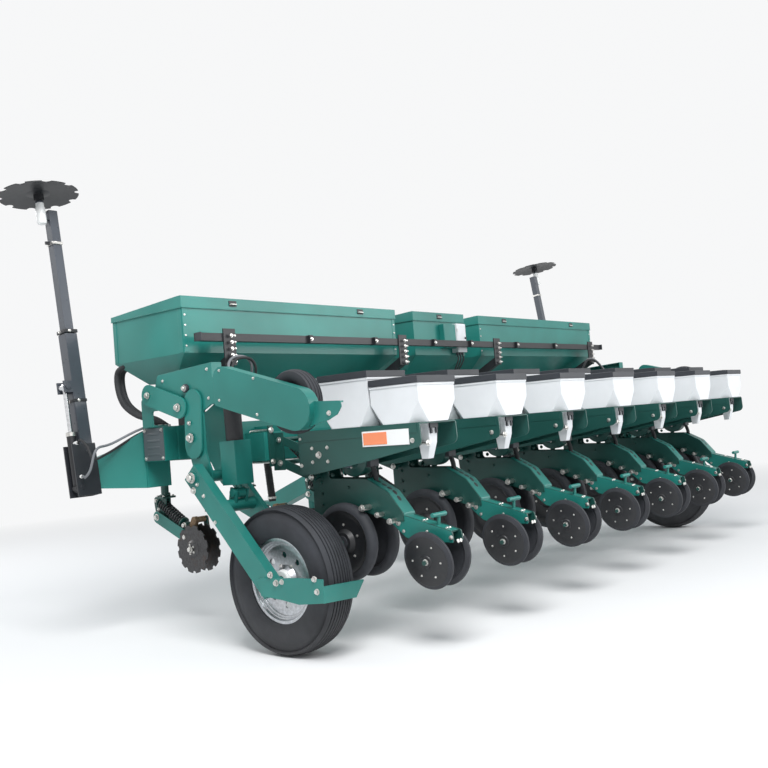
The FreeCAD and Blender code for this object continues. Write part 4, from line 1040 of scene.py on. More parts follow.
barClamps = {
    "apart": 0.126,
    "wire": 0.0085,
    "loop": ((-0.716, 1.169), (-0.548, 1.169), (-0.531, 1.152), (-0.531, 1.008), (-0.548, 0.991),
             (-0.716, 0.991)),
    "plate": ((-0.7105, 0.965), (-0.7105, 1.195), (-0.7005, 1.195), (-0.7005, 0.965)),
    "plateHalf": 0.018,
    "nutSize": 1.1,
}


# U-bolts that hold the row units on the rear toolbar.
def makeBarClamps():
    shape = Shape("barClamps", "frame", "bright_steel")
    half = barClamps["plateHalf"]
    loop = barClamps["loop"]
    nutFace = barClamps["plate"][0][0] - proud
    spots = []
    for row in rowX:
        for s in (-1, 1):
            x = row + s * barClamps["apart"]
            shape.hose([(x, y, z) for y, z in loop], barClamps["wire"], zinc, 10)
            # The clamp plates are in the teal-green darkened as painted shade.
            shape.sheet(barClamps["plate"], x - half, x + half, shadedGreen)
            spots += [((x, nutFace, z), rearward, barClamps["nutSize"]) for z in (loop[0][1], loop[-1][1])]
    shape.finish(0.0008)
    boltField("clampNuts", "frame", spots, 0.012)


meterTrim = {
    "centre": (-1.235, 0.985),
    "half": 0.056,
    "hub": ((0, 0.0115), (0, 0.034), (0.012, 0.030), (0.014, 0.0115)),
    "cog": ((-0.004, 0.0115), (-0.004, 0.046), (0, 0.050), (0.004, 0.046), (0.004, 0.0115)),
    "collar": ((-0.006, 0.0105), (-0.006, 0.018), (0.006, 0.018), (0.006, 0.0105)),
    "cogReach": 0.030,
    "collars": ((0.040, cast), (0.080, zinc)),      # inwards from the carrier's plates
    "lug": ((0.034, 0.040), (0.104, 0.082)),        # two corners, from the meter's centre
    "lugX": (0.020, 0.012),                         # its middle and its half width
    "boltRing": 0.049,
    "neckX": 0.0425,
    "neckBolts": ((0.062, 0.055, 1.1), (0.062, 0.100, 1.1)),
    "drive": ((-0.118, -0.052), (-0.076, 0.046)),   # the housing behind the meter
    "driveHalf": 0.034,
    "tube": ((-0.104, -0.048), (-0.120, -0.110), (-0.104, -0.180), (-0.060, -0.230)),
    "tubeRadius": 0.014,
    "shaft": (-0.175, 0.060),
    "shaftRadius": 0.010,
    "shaftCogReach": 0.050,
}


# Hubs, cogs and tubes of the seed meters and the shafts between them.
def makeMeters():
    y, z = meterTrim["centre"]
    half, reach = meterTrim["half"], plateX - 0.002
    shape = Shape("seedMeters", "frame", "dark_plastic")
    (lugRear, lugLow), (lugFront, lugHigh) = meterTrim["lug"]
    (driveRear, driveLow), (driveFront, driveHigh) = meterTrim["drive"]
    lugX, lugHalf = meterTrim["lugX"]
    driveHalf = meterTrim["driveHalf"]
    shaftY, shaftZ = y + meterTrim["shaft"][0], z + meterTrim["shaft"][1]
    neck = [(y + ahead, z + rise, scale) for ahead, rise, scale in meterTrim["neckBolts"]]
    spots = onRows(neck, meterTrim["neckX"])
    for row in rowX:
        for s in (-1, 1):
            side = row + s * half
            shape.turned(meterTrim["hub"], (side, y, z), (s, 0, 0), cast, 24)
            shape.turned(meterTrim["cog"], (side + s * meterTrim["cogReach"], y, z), (1, 0, 0), gunmetal, 30)
            for inwards, skin in meterTrim["collars"]:
                shape.turned(meterTrim["collar"], (row + s * (plateX - inwards), y, z), (1, 0, 0), skin, 16)
            left, right = row + s * lugX - lugHalf, row + s * lugX + lugHalf
            shape.block((left, y + lugRear, z + lugLow), (right, y + lugFront, z + lugHigh), cast)
            ring = circle(6, (side, y, z), meterTrim["boltRing"], start=math.pi / 6)
            spots += [(spot, (s, 0, 0), 0.9) for spot in ring]
        shape.block((row - driveHalf, y + driveRear, z + driveLow),
                    (row + driveHalf, y + driveFront, z + driveHigh), darkSkin)
        tube = smooth([(row, y + ahead, z + rise) for ahead, rise in meterTrim["tube"]])
        shape.hose(tube, meterTrim["tubeRadius"], hoseSkin, 10)
        left, right = ((x, shaftY, shaftZ) for x in (row - reach, row + reach))
        shape.rod(left, right, meterTrim["shaftRadius"], zinc, 10)
        for s in (-1, 1):
            x = row + s * (half + meterTrim["shaftCogReach"])
            shape.turned(meterTrim["cog"], (x, shaftY, shaftZ), (1, 0, 0), cast, 24)
    shape.finish()
    boltField("meterBolts", "frame", spots, 0.006)


hopperTrim = {
    "half": 0.152,
    "spans": {"rear": (-1.796, -1.489), "front": (-1.477, -1.135)},
    "lipDepth": 0.012,
    "lipOut": (0.0035, 0.0028),         # how far the lip stands out at the sides, and behind and before
    "sink": 0.001,
    "panelHalf": 0.120,
    "panelInset": 0.035,
    "panelSlope": 0.008,
    "panelRise": 0.0035,
}


# Lips round the seed hoppers, and the raised panels of their lids.
def makeHoppers():
    half, sink = hopperTrim["half"], hopperTrim["sink"]
    outX, outY = hopperTrim["lipOut"]
    shape = Shape("hopperRims", "frame", "white_plastic")
    for row in rowX:
        for which, (rear, front) in hopperTrim["spans"].items():
            top = low(which + "_hopper_lids").z - 0.001
            base = top - hopperTrim["lipDepth"]
            for s in (-1, 1):
                inner, outer = sorted((row + s * (half - sink), row + s * (half + outX)))
                shape.block((inner, rear - outY, base), (outer, front + outY, top), whiteSkin)
            shape.block((row - half, rear - outY, base), (row + half, rear + sink, top), whiteSkin)
            shape.block((row - half, front - sink, base), (row + half, front + outY, top), whiteSkin)
    shape.finish(0.0008)
    wide, inset, slope = (hopperTrim[key] for key in ("panelHalf", "panelInset", "panelSlope"))
    for which, (rear, front) in hopperTrim["spans"].items():
        body = which + "_hopper_lids"
        crown = high(body).z
        panel = Shape(which + "LidPanels", body, "dark_plastic")
        for row in rowX:
            rings = []
            for narrower, rise in ((0, -0.0015), (slope, hopperTrim["panelRise"])):
                x, a, b = wide - narrower, rear + inset + narrower, front - inset - narrower
                corners = [(-x, a), (x, a), (x, b), (-x, b)]
                rings.append([(row + across, y, crown + rise) for across, y in corners])
            panel.prism(*rings, darkSkin)
        panel.finish(0.001)


hookTrim = {
    "half": 0.034,
    "bar": ((-1.764, -0.032), (-1.757, -0.006)),        # two corners: y, and height from the seat
    "claw": ((-1.7645, -0.060), (-1.7565, -0.030)),
    "clawSpan": (0.006, 0.020),                         # from the bar's ends
    "studX": -0.045,
    "studDrop": 0.105,
    "studSpan": (-1.752, -1.700),
    "studRadius": 0.008,
    "crossSpan": (-0.060, 0.020),
    "crossRadius": 0.006,
}


# Hooks over the spouts.
def makeHooks():
    shape = Shape("spoutHooks", "frame", "dark_plastic")
    (barRear, barLow), (barFront, barHigh) = hookTrim["bar"]
    (clawRear, clawLow), (clawFront, clawHigh) = hookTrim["claw"]
    rear, front = hookTrim["studSpan"]
    z = seat - hookTrim["studDrop"]
    near, far = (hookTrim["half"] - inset for inset in hookTrim["clawSpan"])
    spots = []
    for row in rowX:
        half = hookTrim["half"]
        shape.block((row - half, barRear, seat + barLow), (row + half, barFront, seat + barHigh), darkSkin)
        for s in (-1, 1):
            inner, outer = sorted((row + s * near, row + s * far))
            shape.block((inner, clawRear, seat + clawLow), (outer, clawFront, seat + clawHigh), darkSkin)
        x = row + hookTrim["studX"]
        spots.append(((x, rear, z), rearward, 1.2))
        shape.rod((x, rear, z), (x, front, z), hookTrim["studRadius"], zinc, 10)
        left, right = ((row + across, front, z) for across in hookTrim["crossSpan"])
        shape.rod(left, right, hookTrim["crossRadius"], zinc, 10)
    shape.finish(0.001)
    boltField("spoutBolts", "frame", spots, 0.010)


reflector = {
    "rear": -1.724,
    "front": -1.420,
    "low": 1.042,
    "high": 1.120,
    "share": 0.54,          # of the length, from the front, that is orange
    "rim": 0.008,
    "faces": (-0.001, 0.0040, 0.0056),      # back, white face and orange face
}


def makeReflectors():
    shape = Shape("reflectors", "frame", "white_plastic")
    rear, front, base, top, rim = (reflector[key] for key in ("rear", "front", "low", "high", "rim"))
    part = front + (rear - front) * reflector["share"]
    plate = abs(rowX[0]) + plateX + carrierTrim["thick"]
    for s in (-1, 1):
        back, skin, glass = (s * (plate + rise) for rise in reflector["faces"])
        face = s * plate
        shape.block((min(back, skin), rear, base), (max(back, skin), front, top), paleGlass)
        inner, outer = sorted((face, glass))
        shape.block((inner, part, base + rim), (outer, front - rim, top - rim), orangeGlass)
    shape.finish(0.0008)


makeCarriers()
makeShanks()
makeQuadrants()
makePressArms()
makeLinks()
makeBarClamps()
makeMeters()
makeHoppers()
makeHooks()
makeReflectors()
print("row units dressed")

endTrim = {
    "capHalf": 0.096,
    "capThick": 0.004,
    "ribs": (-0.060, -0.020, 0.020, 0.060),     # heights from the bar's middle
    "ribHalf": (0.05952, 0.006),                # along the cap and upwards
    "ribRise": 0.0018,
    "screwInset": 0.014,
    "lever": 0.036,                             # how far the lever and the strap stand out from the cheek
    "strap": 0.024,
    "leverBolts": ((-0.055, 1.426, 1.3), (-0.328, 1.336, 1.5)),
    "strapBolts": ((-0.406, 1.243, 0.8), (-0.414, 1.159, 1.0)),
    "strapEnd": (-0.412, 1.160, 1.7),
    "knob": (-0.375, 1.440),
    "knobRise": 0.020,
    "knobRadius": 0.024,
    "cheekBolts": ((-0.16, 1.40, 0.6), (-0.16, 1.50, 0.6), (-0.56, 1.53, 0.6), (-0.56, 1.37, 0.6)),
}


# Caps of the front bar's ends, and the bolts of both end frames.
def makeEnds():
    shape = Shape("endTrim", "frame", "dark_plastic")
    half = endTrim["capHalf"]
    ribLong, ribTall = endTrim["ribHalf"]
    capFace = endX + endTrim["capThick"]
    z = barTop - 0.100
    knob, knobFace = endTrim["knob"], cheekX + endTrim["knobRise"]
    for s in (-1, 1):
        x0, x1 = sorted((s * (endX - 0.0005), s * capFace))
        shape.block((x0, -half, z - half), (x1, half, z + half), capSkin)
        x0, x1 = sorted((s * (endX + 0.002), s * (capFace + endTrim["ribRise"])))
        for rise in endTrim["ribs"]:
            shape.block((x0, -ribLong, z + rise - ribTall), (x1, ribLong, z + rise + ribTall), capSkin)
        shape.rod((s * (cheekX - 0.002),) + knob, (s * knobFace,) + knob, endTrim["knobRadius"], darkSkin, 20)
    shape.finish(0.001)
    corner = half - endTrim["screwInset"]
    screws = [(a * corner, z + b * corner, 0.7) for a in (-1, 1) for b in (-1, 1)]
    lever, strap = cheekX + endTrim["lever"], cheekX + endTrim["strap"]
    spots = onEnds(screws, capFace) + onEnds(endTrim["leverBolts"], lever + 0.002)
    spots += onEnds(endTrim["strapBolts"], strap + proud) + onEnds((endTrim["strapEnd"],), strap + 0.004)
    spots += onEnds((knob + (1.1,),), knobFace) + onEnds(endTrim["cheekBolts"], cheekX)
    boltField("endBolts", "frame", spots, 0.012)


# Bolts of the wheel arms: how far out their plate is, and the bolts on it.
armTrim = (
    (0.0085, ((-1.372, 0.372, 1.0), (-1.359, 0.432, 1.0), (-1.051, 0.440, 1.1), (-1.089, 0.401, 1.1),
              (-1.130, 0.408, 0.9))),
    (0.0135, ((-0.482, 0.942, 1.9),)),
    (0.0005, ((-0.478, 0.872, 1.2), (-0.512, 0.905, 0.7), (-0.560, 0.842, 0.7), (-0.640, 0.700, 0.7))),
)


def makeArms():
    for side, s in sides.items():
        spots = [((s * (armX + rise), y, z), (s, 0, 0), scale)
                 for rise, plate in armTrim for y, z, scale in plate]
        boltField("armBolts." + side, "wheel_arm_" + side, spots, 0.012)


caseTrim = {
    "bolts": ((-0.775, 1.345, 0.6), (-1.060, 1.250, 0.6), (-1.050, 1.435, 0.6), (-0.790, 1.500, 0.6)),
    "axleBolt": (-1.524, 1.224, 1.0),
    "axleInset": 0.035,
}


def makeCases():
    face = high("chain_cases").x
    spots = onEnds(caseTrim["bolts"], face) + onEnds((caseTrim["axleBolt"],), face - caseTrim["axleInset"])
    boltField("caseBolts", "frame", spots, 0.010)


# Places on a marker are (outwards, ahead, along the mast) from the fold's pivot or the cylinder's pin.
markerTrim = {
    "bands": ((1.262, 0.034, 0.016, zinc), (0.716, 0.043, 0.020, black), (0.300, 0.0425, 0.016, black)),
    "bandBolts": (0.012, 0.010),
    "ear": ((0.030, -0.006, 1.264), (0.062, 0.006, 1.282)),
    "sleeveBolts": ((-0.0385, -0.02, 0.06), (-0.0385, 0.02, 0.06), (-0.0385, -0.02, 0.64),
                    (-0.0385, 0.02, 0.64)),
    "bearing": ((0, 0.001), (0, 0.0245), (0.010, 0.0285), (0.098, 0.0285), (0.104, 0.0245), (0.128, 0.0245),
                (0.134, 0.019), (0.134, 0.001)),
    "bearingDrop": 0.176,
    "discBolts": 6,
    "discRing": 0.050,
    "discFace": 0.017,
    "ports": (0.060, 0.255),                # places along the cylinder
    "collar": ((0, 0.020), (0, 0.0285), (0.022, 0.0285), (0.022, 0.020)),
    "collarRise": 0.302,
    "hoseRadius": 0.0075,
    "upperHose": ((0.0, -0.066, 0.255), (0.010, -0.110, 0.262), (0.0, -0.150, 0.215),
                  (-0.020, -0.170, 0.140)),
    "lowerHose": ((0.0, -0.066, 0.060), (0.006, -0.100, 0.050), (0.0, -0.150, 0.085),
                  (-0.030, -0.190, 0.190)),
    "lowerShift": ((0, -0.03, 0.05), (0, -0.012, 0.022), (0, 0, 0.02)),     # from the upper hose's end
    "valveX": (0.400, 0.302),               # inwards from the bar's end
    "valve": ((0.0995, 0.095), (0.142, 0.010)),     # two corners: y, and depth below the bar's top
}


def makeMarkers():
    for side, s in sides.items():
        fold = pivot("marker_mast_%s_fold" % side)
        pin = pivot("marker_cylinder_%s_swing" % side)
        disc = pivot("marker_disc_%s_spin" % side)
        outward = Vector((s, 0, 0))
        up = Vector(joints["marker_disc_%s_spin" % side]["axis"]).normalized()
        up = -up if up.z < 0 else up
        ahead = -Vector((1, 0, 0)).cross(up)
        ahead = -ahead if ahead.y < 0 else ahead

        def place(start, x, y, z):
            return start + outward * x + ahead * y + up * z

        body = "marker_mast_" + side
        shape = Shape("mastTrim." + side, body, "black_paint")
        spots = []
        for rise, half, tall, skin in markerTrim["bands"]:
            corners = [(-half, -half), (half, -half), (half, half), (-half, half)]
            rings = [[place(fold, x, y, level) for x, y in corners] for level in (rise, rise + tall)]
            shape.prism(*rings, skin)
            aheadBy, outBy = markerTrim["bandBolts"]
            spots.append((place(fold, half, aheadBy, rise + tall / 2), outward, 0.8))
            spots.append((place(fold, outBy, -half, rise + tall / 2), -ahead, 0.8))
        (x0, y0, z0), (x1, y1, z1) = markerTrim["ear"]
        corners = [(x0, z0), (x1, z0), (x1, z1), (x0, z1)]
        shape.prism(*[[place(fold, x, y, z) for x, z in corners] for y in (y0, y1)], black)
        shape.turned(markerTrim["bearing"], disc - up * markerTrim["bearingDrop"], up, paleGlass, 28)
        spots += [(place(fold, *spot), -outward, 0.7) for spot in markerTrim["sleeveBolts"]]
        shape.finish(0.001)
        boltField("mastBolts." + side, body, spots, 0.009)
        centre = disc + up * markerTrim["discFace"]
        ring = circle(markerTrim["discBolts"], centre, markerTrim["discRing"], outward, ahead)
        boltField("discBolts." + side, "marker_disc_" + side, [(spot, up, 0.8) for spot in ring], 0.009)

        barrel = "marker_cylinder_" + side
        fittings = Shape("cylinderTrim." + side, barrel, "white_plastic")
        for rise in markerTrim["ports"]:
            fittings.rod(place(pin, 0, -0.024, rise), place(pin, 0, -0.052, rise), 0.011, paleGlass, 12)
            fittings.rod(place(pin, 0, -0.050, rise), place(pin, 0, -0.066, rise), 0.0075, zinc, 6)
        fittings.turned(markerTrim["collar"], pin + up * markerTrim["collarRise"], up, zinc, 28)
        fittings.finish()

        # Each hose leaves its port, turns at the mast's foot and runs along the bar to the valve block.
        wrist = Vector((s * (abs(fold.x) - 0.10), fold.y - 0.105, barTop - 0.125))
        away = Vector((s * (endX - 0.060), 0.135, barTop - 0.012))
        rest = Vector((s * (endX - 0.305), 0.122, barTop - 0.040))
        upper = [place(pin, *spot) for spot in markerTrim["upperHose"]] + [wrist, away, rest]
        lower = [place(pin, *spot) for spot in markerTrim["lowerHose"]]
        lower += [spot + Vector(shift) for spot, shift in zip((wrist, away, rest), markerTrim["lowerShift"])]
        loops = Shape("markerHoses." + side, "frame", "black_hose")
        loops.hose(smooth(upper), markerTrim["hoseRadius"], hoseSkin, 8)
        loops.hose(smooth(lower), markerTrim["hoseRadius"], clearHose, 8)
        loops.finish(bend=(barrel, wrist, place(pin, 0.0, -0.066, 0.155)))
        valve = Shape("markerValves." + side, "frame", "bright_steel")
        inner, outer = sorted(s * (endX - inwards) for inwards in markerTrim["valveX"])
        (rear, lowDepth), (front, highDepth) = markerTrim["valve"]
        valve.block((inner, rear, barTop - lowDepth), (outer, front, barTop - highDepth), gunmetal)
        valve.finish(0.002)


railTrim = {
    "rise": 1.730,
    "inset": 0.023,                         # from the rear of the box frame to the rail's middle
    "clamps": (0.24, 0.92, 1.56),
    "clampHalf": (0.014, 0.026),
    "plug": (0.004, 0.003, 0.0245),         # into the rail, out of it, and its half size
    "posts": (0.616, endX - 0.268),
    "holes": tuple(-0.145 + 0.038 * i for i in range(5)),       # heights from the rail
    "holeFace": 0.031,
    "holeApart": 0.026,
}


# Clamps and end plugs of the rail behind the boxes, and the bolt rows on its posts.
def makeRail():
    shape = Shape("railClamps", "frame", "black_paint")
    y, z = low("box_frame").y + railTrim["inset"], railTrim["rise"]
    wide, half = railTrim["clampHalf"]
    inwards, outwards, plug = railTrim["plug"]
    face = y - railTrim["holeFace"]
    spots = []
    for s in (-1, 1):
        for x in railTrim["clamps"]:
            shape.block((s * x - wide, y - half, z - half), (s * x + wide, y + half, z + half), black)
            spots.append(((s * x, y - half, z), rearward, 0.8))
        inner, outer = sorted((s * (high("box_frame").x - inwards), s * (high("box_frame").x + outwards)))
        shape.block((inner, y - plug, z - plug), (outer, y + plug, z + plug), darkSkin)
        for x in railTrim["posts"]:
            for rise in railTrim["holes"]:
                spots.append(((s * x, face, z + rise), rearward, 0.8))
                spots.append(((s * x + railTrim["holeApart"], face, z + rise), rearward, 0.45))
    shape.finish(0.001)
    boltField("railBolts", "frame", spots, 0.011)


boxTrim = {
    "inset": 0.008,
    "strapX": (0.024, 0.026),               # strap middles: from the inner lid's edge, and from the box's end
    "strapHalf": 0.016,
    "strapBase": 1.655,
    "strapRise": 0.0025,
    "rivets": (1.69, 1.75, 1.81, 1.87),
    "endStraps": 0.020,
    "latchHalf": 0.030,
    "latch": ((-0.003, 0.018), (0.001, 0.052)),         # two corners, from the lid's rear edge and base
    "bail": (0.024, -0.010, 0.030, 0.005),              # half length, place behind and above, radius
    "bailEars": ((-0.026, -0.020), (0.020, 0.026)),
    "ear": ((-0.012, 0.026), (0, 0.034)),
}


# Straps and rivets of the fertiliser boxes, and the latches of their lids.
def makeBoxes():
    shape = Shape("boxTrim", "frame", "green_paint")
    lowCorner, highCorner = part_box("fertiliser_boxes")
    inset, half, rise = boxTrim["inset"], boxTrim["strapHalf"], boxTrim["strapRise"]
    rear, front, rim = lowCorner.y + inset, highCorner.y - inset, highCorner.z
    base, top = boxTrim["strapBase"], rim - 0.006
    outer = highCorner.x - inset
    places = (abs(low("box_lid_right").x) + boxTrim["strapX"][0], highCorner.x - boxTrim["strapX"][1])
    spots = []
    for s in (-1, 1):
        for y, way in ((rear, -1), (front, 1)):
            a, b = sorted((y - way * rise * 0.4, y + way * rise))
            for x in places:
                shape.block((s * x - half, a, base), (s * x + half, b, top), greenPaint)
                spots += [((s * x, y + way * rise, z), (0, way, 0), 0.6) for z in boxTrim["rivets"]]
        a, b = sorted((s * (outer - 0.001), s * (outer + rise)))
        for y in (rear + boxTrim["endStraps"], front - boxTrim["endStraps"]):
            shape.block((a, y - half, base), (b, y + half, top), greenPaint)
    shape.finish(0.0008)
    boltField("boxRivets", "frame", spots, 0.008)
    wide = boxTrim["latchHalf"]
    (a, latchLow), (b, latchHigh) = boxTrim["latch"]
    (c, earLow), (d, earHigh) = boxTrim["ear"]
    bailHalf, back, up, radius = boxTrim["bail"]
    for name in ("left", "centre", "right"):
        node = "box_lid_" + name
        lowCorner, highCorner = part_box(node)
        latch = Shape("latches." + name, node, "black_paint")
        length = highCorner.x - lowCorner.x
        y, z = lowCorner.y, lowCorner.z
        for share in (0.2, 0.8) if length > 1 else (0.5,):
            x = lowCorner.x + length * share
            latch.block((x - wide, y + a, z + latchLow), (x + wide, y + b, z + latchHigh), black)
            latch.rod((x - bailHalf, y + back, z + up), (x + bailHalf, y + back, z + up), radius, zinc, 10)
            for left, right in boxTrim["bailEars"]:
                latch.block((x + left, y + c, z + earLow), (x + right, y + d, z + earHigh), zinc)
        latch.finish(0.0008)


controlTrim = {
    "door": (0.008, 0.010, 0.004),          # inset at the sides, above and below, and thickness
    "plugs": (0.025, 0.035, 0.030),         # first one's place, step, and place behind the door
    "leadRadius": 0.0055,
    "leads": (0.190, 0.018),                # where the first lead meets the post, and the step to the next
    "lead": ((-0.230, 1.465), (-0.110, 1.405), (-0.058, 1.385)),
    "leadBend": (-0.335, 1.600),
    "hinges": 0.05,
    "knobX": 0.018,
    "greenBox": (0.150, 0.050, 0.030, 0.006),       # width, depth, and inset below and above
}


# Door, hinges, knob and leads of the control box, and the green box beside it.
def makeControl():
    lowCorner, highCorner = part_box("control_box")
    shape = Shape("controlTrim", "frame", "white_plastic")
    y = lowCorner.y
    sideInset, endInset, thick = controlTrim["door"]
    shape.block((lowCorner.x + sideInset, y - thick, lowCorner.z + endInset),
                (highCorner.x - sideInset, y + 0.001, highCorner.z - endInset), whiteSkin)
    first, step, behind = controlTrim["plugs"]
    postStart, postStep = controlTrim["leads"]
    for i in range(3):
        x = lowCorner.x + first + step * i
        foot, tip, lead = ((x, y + behind, lowCorner.z + rise) for rise in (-0.018, 0.001, -0.016))
        shape.rod(foot, tip, 0.010, darkSkin, 12)
        post = postStart + postStep * i
        path = [lead, (x,) + controlTrim["leadBend"]]
        path += [(post, ahead, rise) for ahead, rise in controlTrim["lead"]]
        shape.hose(smooth(path), controlTrim["leadRadius"], hoseSkin, 7)
    for z in (lowCorner.z + controlTrim["hinges"], highCorner.z - controlTrim["hinges"]):
        x = lowCorner.x + 0.004
        shape.rod((x, y - 0.003, z - 0.012), (x, y - 0.003, z + 0.012), 0.005, zinc, 10)
    x, z = highCorner.x - controlTrim["knobX"], 0.5 * (lowCorner.z + highCorner.z)
    shape.rod((x, y - 0.003, z), (x, y - 0.012, z), 0.009, darkSkin, 14)
    shape.finish(0.0008)
    green = Shape("greenBox", "frame", "green_paint")
    wide, deep, lowInset, highInset = controlTrim["greenBox"]
    x = lowCorner.x - 0.006
    green.block((x - wide, highCorner.y - deep, lowCorner.z + lowInset),
                (x, highCorner.y + 0.0005, highCorner.z - highInset), greenPaint)
    green.finish(0.004)


hoseTrim = {
    "offset": 0.074,
    "ring": ((0, 0.0235), (0.0015, 0.0262), (0.0045, 0.0262), (0.006, 0.0235)),
    "step": 0.0105,
    "path": ((0.110, 1.478), (0.110, 1.4025), (0.160, 1.2525), (0.160, 1.010), (0.134, 0.730)),
    "collar": ((0, 0.0235), (0, 0.0290), (0.014, 0.0290), (0.014, 0.0235)),
    "collars": ((0.110, high("fertiliser_hoses").z - 0.020), (0.133, 0.722)),
    "outermost": 1.75,      # the rows beyond this have their hose on the inner side
}


# Ribs of the feed hoses under the boxes, and the clamps at both their ends.
def makeFeedHoses():
    shape = Shape("hoseRings", "frame", "black_hose")
    for row in rowX:
        side = 1 if abs(row) < hoseTrim["outermost"] else -1
        x = row + hoseTrim["offset"] * side * (1 if row >= -0.001 else -1)
        path = [(x, y, z) for y, z in hoseTrim["path"]]
        for spot, run in along(path, hoseTrim["step"]):
            shape.turned(hoseTrim["ring"], spot, run, hoseSkin, 12)
        for y, z in hoseTrim["collars"]:
            shape.turned(hoseTrim["collar"], (x, y, z), (0, 0, -1), zinc, 20)
    shape.finish()


openerTrim = {
    "link": (0.520, 0.665),
    "pin": (0.238, 0.542),
    "bridge": (0.178, 0.644),
    "strutTop": (0.540, 0.772),
    "strutLow": (0.268, 0.612),
    "castFace": 0.0145,
    "castRadius": 0.0265,
    "linkRadius": 0.0385,
    "bridgeRadii": (0.0225, 0.0200),
    "linkFaces": (0.0372, 0.0392),
    "bridgeFaces": (0.0885, 0.0925),
    "bridgeRod": (0.020, 0.076, 0.0185),                # start, end and radius
    "post": (0.470, ((0.940, 0.968, 0.031), (0.797, 0.812, 0.033))),    # its y; each band's ends and radius
    "mount": ((0.372, 0.485), (-0.034, 0.034), 1.1005, 1.0),        # y, x, z and size of the bolts
    "flange": ((0.438, 0.500), (-0.038, 0.038), 0.7985, 0.8),
    "stop": (0.520, 0.715, 0.8),
    "axleBolts": ((-0.068, -1), (0.096, 1)),
    "springShare": (0.11, 0.76),                        # start and length, as shares of the strut
    "springRadius": 0.0300,
    "springWire": 0.0062,
    "springTurns": 11.0,
    "hubBolts": 5,
    "hubRing": 0.029,
    "hubFace": 0.0622,
}


# Castings, springs and bolts of the fertiliser openers.
def makeOpeners():
    shape = Shape("openerTrim", "frame", "dark_green_paint")
    coils = []
    spots = []
    top, foot = (Vector((0,) + openerTrim[key]) for key in ("strutTop", "strutLow"))
    pin, link, bridge = (openerTrim[key] for key in ("pin", "link", "bridge"))
    axle = (fertAxle.y, fertAxle.z)
    run = foot - top
    springStart, springLength = openerTrim["springShare"]
    castFace = openerTrim["castFace"]
    inner, outer = openerTrim["bridgeRadii"]
    rodStart, rodEnd, rodRadius = openerTrim["bridgeRod"]
    postY, bands = openerTrim["post"]
    stopY, stopZ, stopSize = openerTrim["stop"]
    pinBolts = ((link, 0.0395, 1.7), (pin, 0.0395, 1.6), (openerTrim["strutTop"], 0.0225, 1.1),
                (openerTrim["strutLow"], 0.0185, 1.5))
    for row in rowX:
        coils.append((top + run * springStart + Vector((row, 0, 0)), run, 1.0))
        shape.sheet(capsule(pin, axle, openerTrim["castRadius"]), row - castFace, row + castFace, cast)
        for s in (-1, 1):
            faces = sorted(row + s * reach for reach in openerTrim["linkFaces"])
            shape.sheet(capsule(link, pin, openerTrim["linkRadius"]), *faces, greenPaint)
        shape.sheet(capsule(pin, bridge, inner), row - castFace, row + castFace, cast)
        shape.sheet(capsule(bridge, axle, outer), *(row + reach for reach in openerTrim["bridgeFaces"]), cast)
        shape.rod((row + rodStart,) + bridge, (row + rodEnd,) + bridge, rodRadius, cast, 20)
        # The post's bands are in the teal-green darkened as painted shade.
        for base, crown, radius in bands:
            shape.rod((row, postY, base), (row, postY, crown), radius, shadedGreen, 24)
        for key in ("mount", "flange"):
            ys, xs, z, scale = openerTrim[key]
            spots += [((row + x, y, z), (0, 0, 1), scale) for y in ys for x in xs]
        for s in (-1, 1):
            spots += [((row + s * reach, y, z), (s, 0, 0), scale) for (y, z), reach, scale in pinBolts]
            spots.append(((row + s * 0.021, stopY, stopZ), (s, 0, 0), stopSize))
        spots += [((row + x,) + axle, (way, 0, 0), 1.6) for x, way in openerTrim["axleBolts"]]
    shape.finish(0.002)
    boltField("openerBolts", "frame", spots, 0.010)
    values = {"Radius": openerTrim["springRadius"], "Wire": openerTrim["springWire"],
              "Length": run.length * springLength, "Turns": openerTrim["springTurns"], "Material": black}
    scatter("openerSprings", "frame", springs, coils, values)
    hubs = []
    for row in rowX:
        for s in (-1, 1):
            centre = (row + s * openerTrim["hubFace"],) + axle
            ring = circle(openerTrim["hubBolts"], centre, openerTrim["hubRing"])
            hubs += [(spot, (s, 0, 0), 1.0) for spot in ring]
    boltField("openerHubs", "fertiliser_discs", hubs, 0.0055)


drawbarTrim = {
    "pinHeight": 0.880,
    "pinHalf": 0.062,
    "pinRadius": 0.008,
    "collar": ((-0.012, 0.0375), (-0.012, 0.044), (0.012, 0.044), (0.012, 0.0375)),
    "collarHeights": (0.900, 0.450),
    "plateX": (0.350, 0.085),               # middle of a leg's plate, and its bolts to either side
    "plateY": 0.1145,
    "plateDepths": (0.180, 0.040),          # below the bar's top
    "boltSize": 1.5,
}


# Pin and collars of the jack, and the bolts that hold the drawbar on the front bar.
def makeDrawbar():
    shape = Shape("drawbarTrim", "frame", "bright_steel")
    x, y, _ = middle("jack_leg")
    z, half = drawbarTrim["pinHeight"], drawbarTrim["pinHalf"]
    shape.rod((x - half, y, z), (x + half, y, z), drawbarTrim["pinRadius"], zinc, 12)
    for z in drawbarTrim["collarHeights"]:
        shape.turned(drawbarTrim["collar"], (x, y, z), (0, 0, 1), black, 28)
    shape.finish()
    leg, aside = drawbarTrim["plateX"]
    spots = [((s * leg + dx, drawbarTrim["plateY"], barTop - depth), (0, 1, 0), drawbarTrim["boltSize"])
             for s in (-1, 1) for dx in (-aside, aside) for depth in drawbarTrim["plateDepths"]]
    boltField("drawbarBolts", "frame", spots, 0.011)


